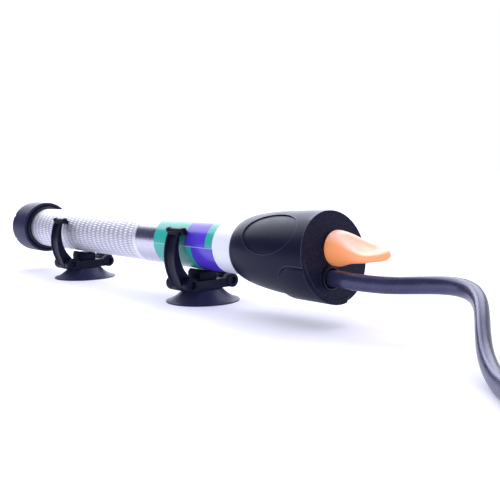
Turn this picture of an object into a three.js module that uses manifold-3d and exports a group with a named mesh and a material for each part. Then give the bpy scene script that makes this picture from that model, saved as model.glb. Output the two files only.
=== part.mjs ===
// Submersible aquarium heater: a steel tube with a black head and end cap,
// carried by two clip brackets that stand on suction cups. Millimetres, +Z up.
// X runs along the tube towards the head, and the origin lies under its middle.

import * as THREE from 'three';
import { mergeVertices } from 'three/addons/utils/BufferGeometryUtils.js';
import Module from 'manifold-3d';

const wasm = await Module();
wasm.setup();

// ---- Driving sizes -------------------------------------------------------

// Lengths that add up to the whole heater, from the end cap to the knob's tip
const capLength = 19.8;
const bareTubeLength = 186.1;
const headLength = 45.6;
const knobReach = 23.5;

// Clearances
const fitGap = 0.3;
const slipGap = 0.25;
const pinGap = 0.1;

// Sheath tube and its printed film
const tubeRadius = 11;
const tubeWall = 0.6;
const embossedLength = 112.4;
const embossedDrop = 0.15;
const bandLength = 3.2;
const bandRise = 0.1;
const filmLength = 54.5;
const filmThickness = 0.25;
const filmLift = 0.05;
const tubeInHead = 21.6;

// End cap
const capRadius = 14.4;
const capShoulder = 4.5;
const capEdge = 0.5;
const capRimRadius = 12.6;
const capRimWall = 2;
const capRimDepth = 3.2;
const capFloor = 1.4;
const capNotchWidth = 2.2;
const capNotchDepth = 3.4;
const capNotches = 6;
const collarDepth = 3;
const collarReach = 1.5;
const collarWall = 1.25;
const collarLugs = 4;
const collarLugWidth = 2.4;
const collarLugDepth = 1.1;
const collarLugTurn = 51;

// Head
const neckRadius = 12.4;
const headRadius = 16.7;
const faceLean = 8.7;
const headTurn = 25;
const headWall = 3.6;
const chamberLength = 14.5;
const chamberWall = 9.5;
const sealSection = 0.6;
const sealInset = 9.6;
const neckLip = 0.6;

// Finger dents in the head
const dentLength = 30;
const dentWidth = 17.4;
const dentDepth = 0.9;
const dentInset = 21.3;
const dentRise = 10;

// Cord clamp cover in the head
const coverHalfSpan = 46;
const coverTurn = -98;
const coverDepth = 15;
const coverCorner = 8.5;
const coverWall = 1.9;
const coverProud = 0.4;
const coverLip = 0.3;
const coverChamfer = 0.35;

// Knob, spindle and gland
const knobRadius = 6.6;
const knobOffset = 3.3;
const knobTurn = 22;
const knobSeatX = -0.6;
const knobSeatGap = 0.3;
const knobDisc = 1.5;
const bladeHalfWidth = 3.9;
const bladeHalfThickness = 1.7;
const bladeTaper = 12;
const dishLength = 13;
const dishWidth = 5;
const dishDepth = 0.6;
const dishFromTip = 2.6;
const hubRadius = 4.5;
const hubDepth = 5;
const spindleInKnob = 7;
const spindleRadius = 2;
const spindleLength = 37;
const spindleSealX = -7.5;
const spindleSealSection = 0.45;
const camThrow = 0.6;
const camLength = 3;
const glandOffset = 8.05;
const glandRadius = 4.4;
const glandFlange = 1.3;
const glandWall = 0.6;

// Clip brackets
const frontBracketX = 34.5;
const bracketSpacing = 108.5;
const bracketLength = 15.8;
const pivotSpacing = 21.9;
const lugRadius = 3.1;
const lugRise = 2.7;
const barThickness = 4;
const saddleRise = 4;
const postSize = 9;
const postHorn = 1.2;
const postChamfer = 2;
const hingePinRadius = 1.5;
const hingePinRecess = 0.9;
const clawWidth = 8;
const clawBulge = 6.5;
const clawRib = 0.9;
const clawRibHeight = 0.5;
const crossbarRadius = 1.05;
const crossbarEndRadius = 1.35;
const crossbarEndLength = 2;
const crossbarLength = 12.6;
const crossbarAngle = 26.2;
const padWidth = 2;
const padReach = 3.1;

// Suction cups
const cupRadius = 16.3;
const cupHeight = 5.5;
const cupTopRadius = 8.6;
const cupRim = 0.5;
const cupWall = 1.4;
const cupNeckRadius = 1.9;
const cupNeckHeight = 2.5;
const cupButtonRadius = 2.9;
const cupButtonHeight = 2.9;

// Heating element
const coreRadius = 5;
const coreBore = 1.8;
const coreInset = 8.5;
const discThickness = 3;
const wireRadius = 0.5;
const wireTurns = 12;
const wireSteps = 8;
const sleeveRadius = 7.6;
const sleeveWall = 0.6;

// Thermostat
const boardWidth = 15;
const boardThickness = 1.4;
const boardDrop = 4.2;
const leadSpread = 2;
const leadRadius = 0.7;
const bladeLength = 40.7;
const leafLength = 33;
const springWidth = 5.2;
const springThickness = 0.6;
const earReach = 3.6;
const earLength = 4;
const earFromTip = 8;
const anchorLength = 6;
const anchorWidth = 6;
const contactRadius = 1.4;
const contactFromTip = 5;
const contactOpening = 0.3;
const magnetSize = 3;
const capacitorRadius = 2.8;
const capacitorLength = 12;
const fuseRadius = 2;
const fuseLength = 11;
const terminalLength = 9;
const terminalWidth = 9;
const terminalHeight = 3.6;
const coreLeadRadius = 0.8;

// Cord and plug
const cordRadius = 3;
const cordSides = 10;
const coilRadius = 31;
const coilCentre = new THREE.Vector2(242.7, -20);
const turnPitch = 6.1;
const turnsAcross = 3;
const turnsHigh = 2;
const plugEntry = new THREE.Vector2(233.5, -37.5);
const plugWidth = 35;
const plugHeight = 13.7;
const plugBodyLength = 28;
const plugTailLength = 22;
const plugTailRadius = 5;
const plugPinRadius = 2;
const plugPinLength = 19;
const plugPinSpacing = 18.6;

// ---- Sizes that follow ---------------------------------------------------

const overallLength = capLength + bareTubeLength + headLength + knobReach;
const capEndX = -overallLength / 2;
const capFaceX = capEndX + capLength;
const neckX = capFaceX + bareTubeLength;
const faceX = neckX + headLength;
const tubeRearX = capEndX + capRimDepth + capFloor + fitGap;
const tubeFrontX = neckX + tubeInHead;
const tubeInnerRadius = tubeRadius - tubeWall;
const embossedEndX = capFaceX + embossedLength;
const bandEndX = embossedEndX + bandLength;
const filmInnerRadius = tubeRadius + filmLift;
const filmOuterRadius = filmInnerRadius + filmThickness;
const gripRadius = filmOuterRadius + fitGap;
const headBoreRadius = tubeRadius + slipGap;

const barBottomZ = cupHeight + fitGap;
const barTopZ = barBottomZ + barThickness;
const axisZ = barTopZ + saddleRise + gripRadius;
const pivotZ = barBottomZ + lugRise;
const pivotY = pivotSpacing / 2;

const wireCoilRadius = (coreRadius + wireRadius + fitGap) / Math.cos(Math.PI / wireSteps);
const elementFrontX = embossedEndX - coreInset + discThickness;
const elementRearX = tubeRearX + 4;

const roundSides = 36;
const smallSides = 16;
const pinSides = 12;

// ---- Materials -----------------------------------------------------------

const finish = (color, roughness, metalness = 0) =>
  new THREE.MeshStandardMaterial({ color, roughness, metalness });

const blackPlastic = finish(0x1c1c26, 0.45);
const clipPlastic = finish(0x24242e, 0.5);
const rubber = finish(0x2b2b33, 0.7);
const steel = finish(0xb9b9c4, 0.28, 1);
const printedFilm = finish(0x3fb6ae, 0.25);
const orangePlastic = finish(0xf58a4b, 0.35);
const ceramic = finish(0xe9e4d8, 0.8);
const resistanceWire = finish(0x8a8580, 0.4, 1);
const mica = finish(0xc9b98f, 0.6);
const boardLaminate = finish(0xb58f4f, 0.6);
const brass = finish(0xc8a24a, 0.35, 1);
const bimetal = finish(0x9c8f7c, 0.35, 1);
const silver = finish(0xdcdce0, 0.25, 1);
const magnetIron = finish(0x55555c, 0.5, 1);
const capacitorFilm = finish(0x2d5fa8, 0.4);
const brownPlastic = finish(0x6b3f22, 0.5);
const bluePlastic = finish(0x2c58a6, 0.5);
const cordSheath = finish(0x2a2a35, 0.5);

// ---- Solid modelling helpers ---------------------------------------------

// A closed geometry as a solid for cutting and joining
function solid(geometry) {
  const bare = geometry.clone();
  bare.deleteAttribute('normal');
  bare.deleteAttribute('uv');
  const merged = mergeVertices(bare, 1e-4);
  const corners = merged.index.array;
  const triangles = [];
  for (let i = 0; i < corners.length; i += 3) {
    const [a, b, c] = corners.slice(i, i + 3);
    if (a !== b && b !== c && c !== a) triangles.push(a, b, c);
  }
  const mesh = new wasm.Mesh({
    numProp: 3,
    vertProperties: new Float32Array(merged.attributes.position.array),
    triVerts: new Uint32Array(triangles),
  });
  mesh.merge();
  return new wasm.Manifold(mesh);
}

// The geometry of a finished solid
function geometryOf(body) {
  const mesh = body.getMesh();
  const geometry = new THREE.BufferGeometry();
  geometry.setAttribute('position', new THREE.BufferAttribute(mesh.vertProperties, 3));
  geometry.setIndex(new THREE.BufferAttribute(mesh.triVerts, 1));
  geometry.computeVertexNormals();
  return geometry;
}

const cut = (body, ...tools) => tools.reduce((rest, tool) => rest.subtract(tool), body);
const join = (body, ...others) => others.reduce((sum, other) => sum.add(other), body);

const point = (x, y) => new THREE.Vector2(x, y);

// A profile of [radius, height] points turned about Z
function turnedZ(profile, sides = roundSides) {
  const points = profile.map(([radius, height]) => point(radius, height));
  const geometry = new THREE.LatheGeometry(points, sides);
  geometry.rotateX(Math.PI / 2);
  return geometry;
}

// A profile of [radius, x] points turned about X
function turnedX(profile, sides = roundSides) {
  const points = profile.map(([radius, x]) => point(radius, x));
  const geometry = new THREE.LatheGeometry(points, sides);
  geometry.rotateZ(-Math.PI / 2);
  return geometry;
}

// A plain rod or disc along X between two stations
function rodX(radius, x0, x1, sides = smallSides) {
  return turnedX([[0, x0], [radius, x0], [radius, x1], [0, x1]], sides);
}

// A plain tube or ring along X between two stations
function ringX(inner, outer, x0, x1, sides = roundSides) {
  return turnedX([[inner, x0], [outer, x0], [outer, x1], [inner, x1], [inner, x0]], sides);
}

// A ring of round section about X
function roundRingX(radius, section, x, sides = roundSides) {
  const profile = [];
  const steps = 6;
  for (let i = 0; i <= steps; i += 1) {
    const angle = (2 * Math.PI * i) / steps - Math.PI / 2;
    const out = section * Math.cos(angle);
    const along = section * Math.sin(angle);
    profile.push([radius + out, x + along]);
  }
  profile[steps] = [...profile[0]];
  return turnedX(profile, sides);
}

// A Y-Z outline made thick along X, centred on X = 0
function slabX(outline, thickness, curveSegments = 10) {
  const options = { depth: thickness, bevelEnabled: false, curveSegments };
  const geometry = new THREE.ExtrudeGeometry(outline, options);
  geometry.translate(0, 0, -thickness / 2);
  const yAxis = new THREE.Vector3(0, 1, 0);
  const zAxis = new THREE.Vector3(0, 0, 1);
  const xAxis = new THREE.Vector3(1, 0, 0);
  geometry.applyMatrix4(new THREE.Matrix4().makeBasis(yAxis, zAxis, xAxis));
  return geometry;
}

// A box between two corners
function block(low, high) {
  const size = high.map((value, i) => value - low[i]);
  const geometry = new THREE.BoxGeometry(...size);
  geometry.translate(...low.map((value, i) => value + size[i] / 2));
  return geometry;
}

// A round wire or cord through the given points
function wire(points, radius, sides, steps) {
  const path = new THREE.CatmullRomCurve3(points, false, 'centripetal');
  const section = new THREE.Shape();
  for (let i = 0; i < sides; i += 1) {
    const angle = (2 * Math.PI * i) / sides;
    const x = radius * Math.cos(angle);
    const y = radius * Math.sin(angle);
    if (i === 0) section.moveTo(x, y);
    else section.lineTo(x, y);
  }
  section.closePath();
  return new THREE.ExtrudeGeometry(section, { steps, extrudePath: path, bevelEnabled: false });
}

function part(name, geometry, material, parent) {
  const mesh = new THREE.Mesh(geometry, material);
  mesh.name = name;
  parent.add(mesh);
  return mesh;
}

const radians = THREE.MathUtils.degToRad;

// ---- Groups --------------------------------------------------------------

const heater = new THREE.Group();
const tubeAxis = new THREE.Group();
tubeAxis.position.z = axisZ;
heater.add(tubeAxis);

const head = new THREE.Group();
head.position.x = faceX;
head.rotation.x = -radians(headTurn);
tubeAxis.add(head);

// ---- Sheath tube, film and end cap ---------------------------------------

// Deep-drawn steel sheath, closed at the rear, with an embossed heating zone
// that ends at a smooth raised band
function heatingTube() {
  const embossed = tubeRadius - embossedDrop;
  const band = tubeRadius + bandRise;
  const endRound = 2.4;
  const inside = tubeRearX + tubeWall;
  return turnedX([
    [0, tubeRearX],
    [embossed - endRound, tubeRearX],
    [embossed - endRound * 0.3, tubeRearX + endRound * 0.3],
    [embossed, tubeRearX + endRound],
    [embossed, embossedEndX],
    [band, embossedEndX + embossedDrop],
    [band, bandEndX - bandRise],
    [tubeRadius, bandEndX],
    [tubeRadius, tubeFrontX],
    [tubeInnerRadius, tubeFrontX],
    [tubeInnerRadius, inside + endRound],
    [tubeInnerRadius - endRound, inside],
    [0, inside],
  ]);
}

// Printed plastic film shrunk on the tube, up to the head's neck
function labelWrap() {
  const frontX = neckX - fitGap;
  return ringX(filmInnerRadius, filmOuterRadius, frontX - filmLength, frontX);
}

// Moulded cap with a castellated rim and a counterbore for its collar
function endCap() {
  const bore = tubeRadius + slipGap;
  const counterbore = bore + collarWall + slipGap;
  const floorOutX = capEndX + capRimDepth;
  const floorInX = floorOutX + capFloor;
  const shoulder = new THREE.QuadraticBezierCurve(
    point(capRimRadius, capEndX),
    point(capRadius, capEndX),
    point(capRadius, capEndX + capShoulder),
  );
  const body = solid(turnedX([
    [0, floorOutX],
    [capRimRadius - capRimWall - 1, floorOutX],
    [capRimRadius - capRimWall, capEndX],
    ...shoulder.getPoints(5).map((p) => [p.x, p.y]),
    [capRadius, capFaceX - capEdge],
    [capRadius - capEdge, capFaceX],
    [counterbore, capFaceX],
    [counterbore, capFaceX - collarDepth - fitGap],
    [bore, capFaceX - collarDepth - fitGap],
    [bore, floorInX],
    [0, floorInX],
  ]));
  const notches = [];
  for (let i = 0; i < capNotches; i += 1) {
    const notch = block(
      [capEndX - 1, -capNotchWidth / 2, capRimRadius - capRimWall - 2],
      [capEndX + capNotchDepth, capNotchWidth / 2, capRadius + 1],
    );
    notch.rotateX((2 * Math.PI * i) / capNotches);
    notches.push(solid(notch));
  }
  return geometryOf(cut(body, ...notches));
}

// Rubber collar that grips the tube and shows as a lip at the cap's mouth, with
// small lugs by which it is pressed home
function capCollar() {
  const inner = tubeRadius + bandRise;
  const outer = tubeRadius + slipGap + collarWall;
  const rearX = capFaceX - collarDepth;
  const lipX = capFaceX + collarReach;
  const ring = solid(turnedX([
    [inner, rearX],
    [outer, rearX],
    [outer, capFaceX],
    [inner + 0.4, lipX],
    [inner, lipX],
    [inner, rearX],
  ]));
  const lugs = [];
  for (let i = 0; i < collarLugs; i += 1) {
    const upper = i < collarLugs / 2 ? 1 : -1;
    const side = i % 2 === 0 ? 1 : -1;
    const lug = block(
      [rearX + fitGap, -collarLugWidth / 2, outer - collarLugDepth],
      [lipX - fitGap, collarLugWidth / 2, outer - 0.1],
    );
    lug.rotateX(upper * side * radians(90 - collarLugTurn) + (upper > 0 ? 0 : Math.PI));
    lugs.push(solid(lug));
  }
  return geometryOf(join(ring, ...lugs));
}

part('heating_tube', heatingTube(), steel, tubeAxis);
part('label_wrap', labelWrap(), printedFilm, tubeAxis);
part('end_cap', endCap(), blackPlastic, tubeAxis);
part('cap_collar', capCollar(), rubber, tubeAxis);

// ---- Head ----------------------------------------------------------------

// The lowest point of the leaning face lies straight under the tube's axis
const faceNormalTurn = radians(headTurn);

// Everything beyond the leaning end face
function beyondFace() {
  const reach = 3 * headRadius;
  const tool = block([0, -reach, -reach], [reach, reach, reach]);
  tool.rotateY(-radians(faceLean));
  tool.rotateX(faceNormalTurn);
  return solid(tool);
}

// Barrel outline of the head from its neck to beyond the face
function barrel(offset = 0) {
  const curve = new THREE.CubicBezierCurve(
    point(neckRadius + offset, 0.8 - headLength),
    point(neckRadius + 2.9 + offset, 7.6 - headLength),
    point(headRadius - 0.3 + offset, 0.56 * headLength - headLength),
    point(headRadius + offset, 4),
  );
  return curve.getPoints(9).map((p) => [p.x, p.y]);
}

// One finger dent: an oval pressed into the barrel, square to its side
function fingerDent(side) {
  const oval = new THREE.Shape();
  oval.absellipse(0, 0, dentLength / 2, dentWidth / 2, 0, 2 * Math.PI);
  const options = { depth: 2 * headRadius, bevelEnabled: false, curveSegments: 13 };
  const plug = new THREE.ExtrudeGeometry(oval, options);
  const sideAngle = side > 0 ? radians(dentRise) : Math.PI - radians(dentRise);
  plug.rotateX(sideAngle - Math.PI / 2);
  plug.translate(-dentInset, 0, 0);
  const floor = solid(turnedX([[0, -headLength], ...barrel(-dentDepth), [0, 4]]));
  return solid(plug).subtract(floor);
}

// U-shaped outline of the clamp cover, seen along its own radius
function coverOutline(grow) {
  const half = headRadius * Math.sin(radians(coverHalfSpan)) + grow;
  const rear = -coverDepth - grow;
  const corner = coverCorner + grow;
  const outline = new THREE.Shape();
  outline.moveTo(5, -half);
  outline.lineTo(5, half);
  outline.lineTo(rear + corner, half);
  outline.absarc(rear + corner, half - corner, corner, Math.PI / 2, Math.PI);
  outline.absarc(rear + corner, corner - half, corner, Math.PI, 1.5 * Math.PI);
  return outline;
}

// The cover's U as a solid that runs outwards from the axis
function coverPrism(grow) {
  const options = { depth: 2 * headRadius, bevelEnabled: false, curveSegments: 6 };
  const prism = new THREE.ExtrudeGeometry(coverOutline(grow), options);
  prism.rotateX(radians(coverTurn) - Math.PI / 2);
  return solid(prism);
}

const coverOuterRadius = headRadius + coverProud;
const coverInnerRadius = coverOuterRadius - coverWall;
const glandZ = -glandOffset;

// Height of the leaning face along X at a place in the head's own frame
function faceAt(y, z) {
  const down = -(z * Math.cos(faceNormalTurn) + y * Math.sin(faceNormalTurn));
  return down * Math.tan(radians(faceLean));
}

const glandFaceX = faceAt(0, glandZ);

function headHousing() {
  const grooveRadius = tubeRadius + 2 * sealSection + 0.3;
  const grooveX = sealInset - headLength;
  const grooveHalf = sealSection + 0.2;
  const chamberRadius = headRadius - headWall;
  const chamberRearX = -chamberWall - chamberLength;
  const shell = solid(turnedX([
    [0, -chamberWall],
    [chamberRadius, -chamberWall],
    [chamberRadius, chamberRearX],
    [headBoreRadius, chamberRearX],
    [headBoreRadius, grooveX + grooveHalf],
    [grooveRadius, grooveX + grooveHalf],
    [grooveRadius, grooveX - grooveHalf],
    [headBoreRadius, grooveX - grooveHalf],
    [headBoreRadius, -headLength],
    [neckRadius - neckLip, -headLength],
    ...barrel(),
    [0, 4],
  ]));
  const coverPocket = coverPrism(fitGap).subtract(
    solid(rodX(coverInnerRadius - fitGap, -headLength, 8, roundSides)),
  );
  const seat = solid(rodX(knobRadius + fitGap, knobSeatX, 8));
  const hubRecess = solid(rodX(hubRadius + fitGap, knobSeatX - hubDepth, 8));
  const spindleHole = solid(rodX(spindleRadius + slipGap, -chamberWall - 1, 0));
  const sealSpace = 2 * spindleSealSection;
  const sealGroove = solid(rodX(
    spindleRadius + sealSpace + fitGap,
    spindleSealX - sealSpace,
    spindleSealX + sealSpace,
  ));
  const knobTools = [seat, hubRecess, spindleHole, sealGroove].map((t) => t.translate([0, 0, knobOffset]));
  const glandHole = solid(rodX(glandRadius - glandWall + pinGap, -chamberWall - 1, 8));
  const glandSeat = solid(rodX(glandRadius + fitGap, glandFaceX - 0.5, 8));
  const glandTools = [glandHole, glandSeat].map((t) => t.translate([0, 0, glandZ]));
  return geometryOf(cut(
    shell,
    beyondFace(),
    fingerDent(1),
    fingerDent(-1),
    coverPocket,
    ...knobTools,
    ...glandTools,
  ));
}

// Cover plate over the cord clamp, a little proud of the barrel and the face,
// with a chamfer round its front edge
function clampCover() {
  const band = solid(ringX(coverInnerRadius, coverOuterRadius, -coverDepth - 1, 8));
  const reach = headLength;
  const front = turnedX([
    [0, -reach],
    [coverOuterRadius + reach, -reach],
    [coverOuterRadius - coverChamfer, coverLip],
    [0, coverLip],
  ]);
  front.rotateY(-radians(faceLean));
  front.rotateX(faceNormalTurn);
  return geometryOf(coverPrism(0).intersect(band).intersect(solid(front)));
}

function cordGland() {
  const inner = cordRadius + fitGap;
  const sleeve = glandRadius - glandWall;
  const frontX = glandFaceX - 0.2 + glandFlange;
  const gland = turnedX([
    [inner, -chamberWall - 2],
    [sleeve, -chamberWall - 2],
    [sleeve, glandFaceX - 0.2],
    [glandRadius, glandFaceX - 0.2],
    [glandRadius, frontX - 0.2],
    [glandRadius - 0.2, frontX],
    [sleeve, frontX],
    [inner, frontX - 1.2],
    [inner, -chamberWall - 2],
  ], smallSides);
  gland.translate(0, 0, glandZ);
  return gland;
}

part('head_housing', headHousing(), blackPlastic, head);
part('clamp_cover', clampCover(), blackPlastic, head);
part('cord_gland', cordGland(), rubber, head);
const sealX = sealInset - headLength;
const tubeSealRadius = tubeRadius + pinGap + sealSection;
part('tube_seal', roundRingX(tubeSealRadius, sealSection, sealX, 24), rubber, head);
const spindleSealRadius = spindleRadius + pinGap + spindleSealSection;
const spindleSeal = roundRingX(spindleSealRadius, spindleSealSection, spindleSealX, smallSides);
spindleSeal.translate(0, 0, knobOffset);
part('spindle_seal', spindleSeal, rubber, head);

// ---- Knob and its spindle ------------------------------------------------

const knob = new THREE.Group();
knob.position.z = knobOffset;
knob.rotation.x = radians(headTurn + knobTurn);
head.add(knob);

const knobBaseX = knobSeatX + knobSeatGap;

// Outline of the knob along its axis, from its wide disc through a swelling
// neck to a rounded end
function knobOutline(neckHalf, endHalf, endLength) {
  const outline = new THREE.Shape();
  const discX = knobBaseX + knobDisc;
  const bladeX = knobReach - endLength;
  outline.moveTo(knobBaseX, -knobRadius - 1);
  outline.lineTo(discX, -knobRadius - 1);
  outline.lineTo(discX, -knobRadius);
  outline.bezierCurveTo(discX + 4, -neckHalf, discX + 8, -endHalf, bladeX, -endHalf);
  outline.absellipse(bladeX, 0, endLength, endHalf, -Math.PI / 2, Math.PI / 2);
  outline.bezierCurveTo(discX + 8, endHalf, discX + 4, neckHalf, discX, knobRadius);
  outline.lineTo(discX, knobRadius + 1);
  outline.lineTo(knobBaseX, knobRadius + 1);
  return outline;
}

// The outline as a solid that runs right through the knob
function knobPrism(outline) {
  const options = { depth: 4 * knobRadius, bevelEnabled: false, curveSegments: 9 };
  const prism = new THREE.ExtrudeGeometry(outline, options);
  prism.translate(0, 0, -2 * knobRadius);
  return solid(prism);
}

// Shallow oval thumb dish in one side of the blade
function thumbDish() {
  const bowl = new THREE.SphereGeometry(1, smallSides, smallSides / 2);
  const bowlHeight = 3;
  bowl.scale(dishLength / 2, dishWidth / 2, bowlHeight);
  bowl.rotateY(radians(5));
  const centreX = knobReach - dishLength / 2 - dishFromTip;
  bowl.translate(centreX, 0, bladeHalfThickness + 0.7 - dishDepth + bowlHeight);
  return solid(bowl);
}

// A round stub narrowed in plan and hollowed on both sides to a flat blade
function adjustingKnob() {
  const stub = solid(turnedX([
    [0, knobBaseX],
    [knobRadius - 0.4, knobBaseX],
    [knobRadius, knobBaseX + 0.4],
    [knobRadius, knobReach],
    [0, knobReach],
  ], 32));
  const plan = knobPrism(knobOutline(bladeHalfWidth + 1.3, bladeHalfWidth, bladeTaper));
  const side = knobPrism(knobOutline(bladeHalfThickness + 1.9, bladeHalfThickness, bladeHalfThickness));
  const dish = thumbDish();
  const blade = cut(
    stub.intersect(plan).intersect(side.rotate([90, 0, 0])),
    dish,
    dish.rotate([180, 0, 0]),
  );
  const hub = solid(rodX(hubRadius, knobBaseX - hubDepth + fitGap, knobBaseX + 0.5));
  const bore = solid(rodX(spindleRadius + pinGap, knobBaseX - hubDepth - 1, knobBaseX + spindleInKnob));
  return geometryOf(cut(join(blade, hub), bore));
}

const spindleFrontX = knobBaseX + spindleInKnob - fitGap;

// Steel spindle with an eccentric cam at its inner end
function adjustingSpindle() {
  const rearX = spindleFrontX - spindleLength;
  const shaft = solid(rodX(spindleRadius, rearX, spindleFrontX));
  const cam = solid(rodX(spindleRadius + camThrow + 0.2, rearX, rearX + camLength));
  return geometryOf(join(shaft, cam.translate([0, 0, camThrow])));
}

part('adjusting_knob', adjustingKnob(), orangePlastic, knob);
part('adjusting_spindle', adjustingSpindle(), steel, knob);

// ---- Heating element inside the tube -------------------------------------

const coreRearX = elementRearX + discThickness + fitGap;
const coreFrontX = elementFrontX - discThickness - fitGap;
const discRadius = tubeInnerRadius - fitGap;
const leadZ = -6.4;

// Ceramic end disc that centres the core, with two holes for the leads
function endDisc(x0) {
  const disc = solid(rodX(discRadius, x0, x0 + discThickness, 24));
  const hole = rodX(leadRadius + fitGap, x0 - 1, x0 + discThickness + 1, 8);
  const holes = [-1, 1].map((side) => solid(hole).translate([0, side * leadSpread, leadZ]));
  return geometryOf(cut(disc, ...holes));
}

function resistanceCoil() {
  const length = coreFrontX - coreRearX - 8;
  const steps = wireTurns * wireSteps;
  const points = [];
  for (let i = 0; i <= steps; i += 1) {
    const angle = (2 * Math.PI * i) / wireSteps;
    const x = coreRearX + 4 + (length * i) / steps;
    const y = wireCoilRadius * Math.cos(angle);
    const z = wireCoilRadius * Math.sin(angle);
    points.push(new THREE.Vector3(x, y, z));
  }
  return wire(points, wireRadius, 4, steps);
}

part('ceramic_core', ringX(coreBore, coreRadius, coreRearX, coreFrontX, smallSides), ceramic, tubeAxis);
part('heating_coil', resistanceCoil(), resistanceWire, tubeAxis);
const sleeve = ringX(sleeveRadius - sleeveWall, sleeveRadius, coreRearX, coreFrontX, smallSides);
part('mica_sleeve', sleeve, mica, tubeAxis);

// ---- Thermostat ----------------------------------------------------------

const inner = new THREE.Group();
inner.rotation.x = -radians(headTurn);
tubeAxis.add(inner);

part('core_disc_rear', endDisc(elementRearX), ceramic, inner);
part('core_disc_front', endDisc(elementFrontX - discThickness), ceramic, inner);

const boardTop = boardThickness - boardDrop;
const seatTop = boardTop + fitGap;
const camX = faceX + spindleFrontX - spindleLength;

function boardPlate() {
  return block(
    [elementFrontX + fitGap, -boardWidth / 2, -boardDrop],
    [tubeFrontX + 2, boardWidth / 2, boardTop],
  );
}

const bladeTipX = camX - fitGap;
const bladeX = bladeTipX - bladeLength;
const leafX = camX + camLength - leafLength;
const camReach = spindleRadius + 2 * camThrow + 0.2;
const leafTop = knobOffset - camReach - fitGap;
const bladeBottom = leafTop + 2.2;

// Bimetal blade with a side ear that the magnet snaps
function bimetalBlade() {
  const outline = new THREE.Shape();
  const side = springWidth / 2;
  const earFrontX = bladeTipX - earFromTip;
  const earRearX = earFrontX - earLength;
  outline.moveTo(bladeX, -side);
  outline.lineTo(bladeTipX, -side);
  outline.lineTo(bladeTipX, side);
  outline.lineTo(earFrontX, side);
  outline.lineTo(earFrontX, side + earReach);
  outline.lineTo(earRearX, side + earReach);
  outline.lineTo(earRearX, side);
  outline.lineTo(bladeX, side);
  outline.closePath();
  const blade = new THREE.ExtrudeGeometry(outline, { depth: springThickness, bevelEnabled: false });
  blade.translate(0, 0, bladeBottom);
  return blade;
}

// Brass block on the board that holds the rear end of a spring
function springAnchor(x, springBottom) {
  return block(
    [x, -anchorWidth / 2, seatTop],
    [x + anchorLength, anchorWidth / 2, springBottom - fitGap],
  );
}

part('thermostat_board', boardPlate(), boardLaminate, inner);
part('blade_anchor', springAnchor(bladeX, bladeBottom), brass, inner);
part('bimetal_blade', bimetalBlade(), bimetal, inner);
part('leaf_anchor', springAnchor(leafX, leafTop - springThickness), brass, inner);
part('contact_leaf', block(
  [leafX, -springWidth / 2, leafTop - springThickness],
  [camX + camLength, springWidth / 2, leafTop],
), brass, inner);

// Silver contact button standing on a spring, facing the other
function contactButton(x, z0, z1) {
  const button = turnedZ([[0, z0], [contactRadius, z0], [contactRadius, z1], [0, z1]], smallSides);
  button.translate(x, 0, 0);
  return button;
}

const contactX = camX - contactFromTip;
const contactsMeet = (leafTop + bladeBottom) / 2;
const lowerContact = contactButton(contactX, leafTop + fitGap, contactsMeet - contactOpening / 2);
const upperContact = contactButton(contactX, contactsMeet + contactOpening / 2, bladeBottom - fitGap);
part('lower_contact', lowerContact, silver, inner);
part('upper_contact', upperContact, silver, inner);
const magnetX = bladeTipX - earFromTip - earLength;
const magnetY = springWidth / 2 + 2 * fitGap;
part('snap_magnet', block(
  [magnetX, magnetY, seatTop],
  [magnetX + earLength, magnetY + magnetSize, bladeBottom - fitGap],
), magnetIron, inner);

const capacitorFrontX = bladeX - anchorLength;
const capacitor = rodX(capacitorRadius, capacitorFrontX - capacitorLength, capacitorFrontX);
capacitor.translate(0, 0, seatTop + capacitorRadius);
part('capacitor', capacitor, capacitorFilm, inner);

const fuseX = elementFrontX + 5 * fitGap;
const thermalFuse = rodX(fuseRadius, fuseX, fuseX + fuseLength, pinSides);
thermalFuse.translate(0, 0, seatTop + fuseRadius);
part('thermal_fuse', thermalFuse, silver, inner);

const terminalTop = -boardDrop - fitGap;
const terminalFrontX = tubeFrontX - terminalLength / 3;
const terminalX = terminalFrontX - terminalLength;
part('terminal_block', block(
  [terminalX, -terminalWidth / 2, terminalTop - terminalHeight],
  [terminalFrontX, terminalWidth / 2, terminalTop],
), ceramic, inner);

// Straight lead under the board, from the terminal block into the front disc
function elementLead(side) {
  const lead = rodX(leadRadius, elementFrontX - discThickness + 0.5, terminalX - fitGap, 8);
  lead.translate(0, side * leadSpread, leadZ);
  return lead;
}

// One core of the cord, from the end of its sheath to the terminal block
function cordCore(side) {
  const startX = faceX - chamberWall - 2.5 - fitGap;
  const endX = terminalFrontX + fitGap;
  return wire([
    new THREE.Vector3(startX, side * 1.2, glandZ),
    new THREE.Vector3(startX - 3, side * 1.3, glandZ),
    new THREE.Vector3(endX + 3, side * leadSpread, leadZ),
    new THREE.Vector3(endX, side * leadSpread, leadZ),
  ], coreLeadRadius, 8, 6);
}

part('live_lead', elementLead(-1), brownPlastic, inner);
part('neutral_lead', elementLead(1), bluePlastic, inner);
part('live_core', cordCore(-1), brownPlastic, inner);
part('neutral_core', cordCore(1), bluePlastic, inner);

// ---- Clip brackets -------------------------------------------------------

// The holes are wide enough that their flats clear the pins' corners
const pinHoleRadius = (hingePinRadius + pinGap) / Math.cos(Math.PI / pinSides);

// Post that carries the tube, bevelled along both ends of its top
function saddlePost() {
  const half = postSize / 2;
  const postTop = axisZ - gripRadius + postHorn;
  const outline = new THREE.Shape();
  outline.moveTo(-half, barTopZ - 1);
  outline.lineTo(half, barTopZ - 1);
  outline.lineTo(half, postTop - postChamfer);
  outline.lineTo(half - postChamfer, postTop);
  outline.lineTo(postChamfer - half, postTop);
  outline.lineTo(-half, postTop - postChamfer);
  const post = new THREE.ExtrudeGeometry(outline, { depth: postSize, bevelEnabled: false });
  post.rotateX(Math.PI / 2);
  post.translate(0, half, 0);
  return solid(post);
}

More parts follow.
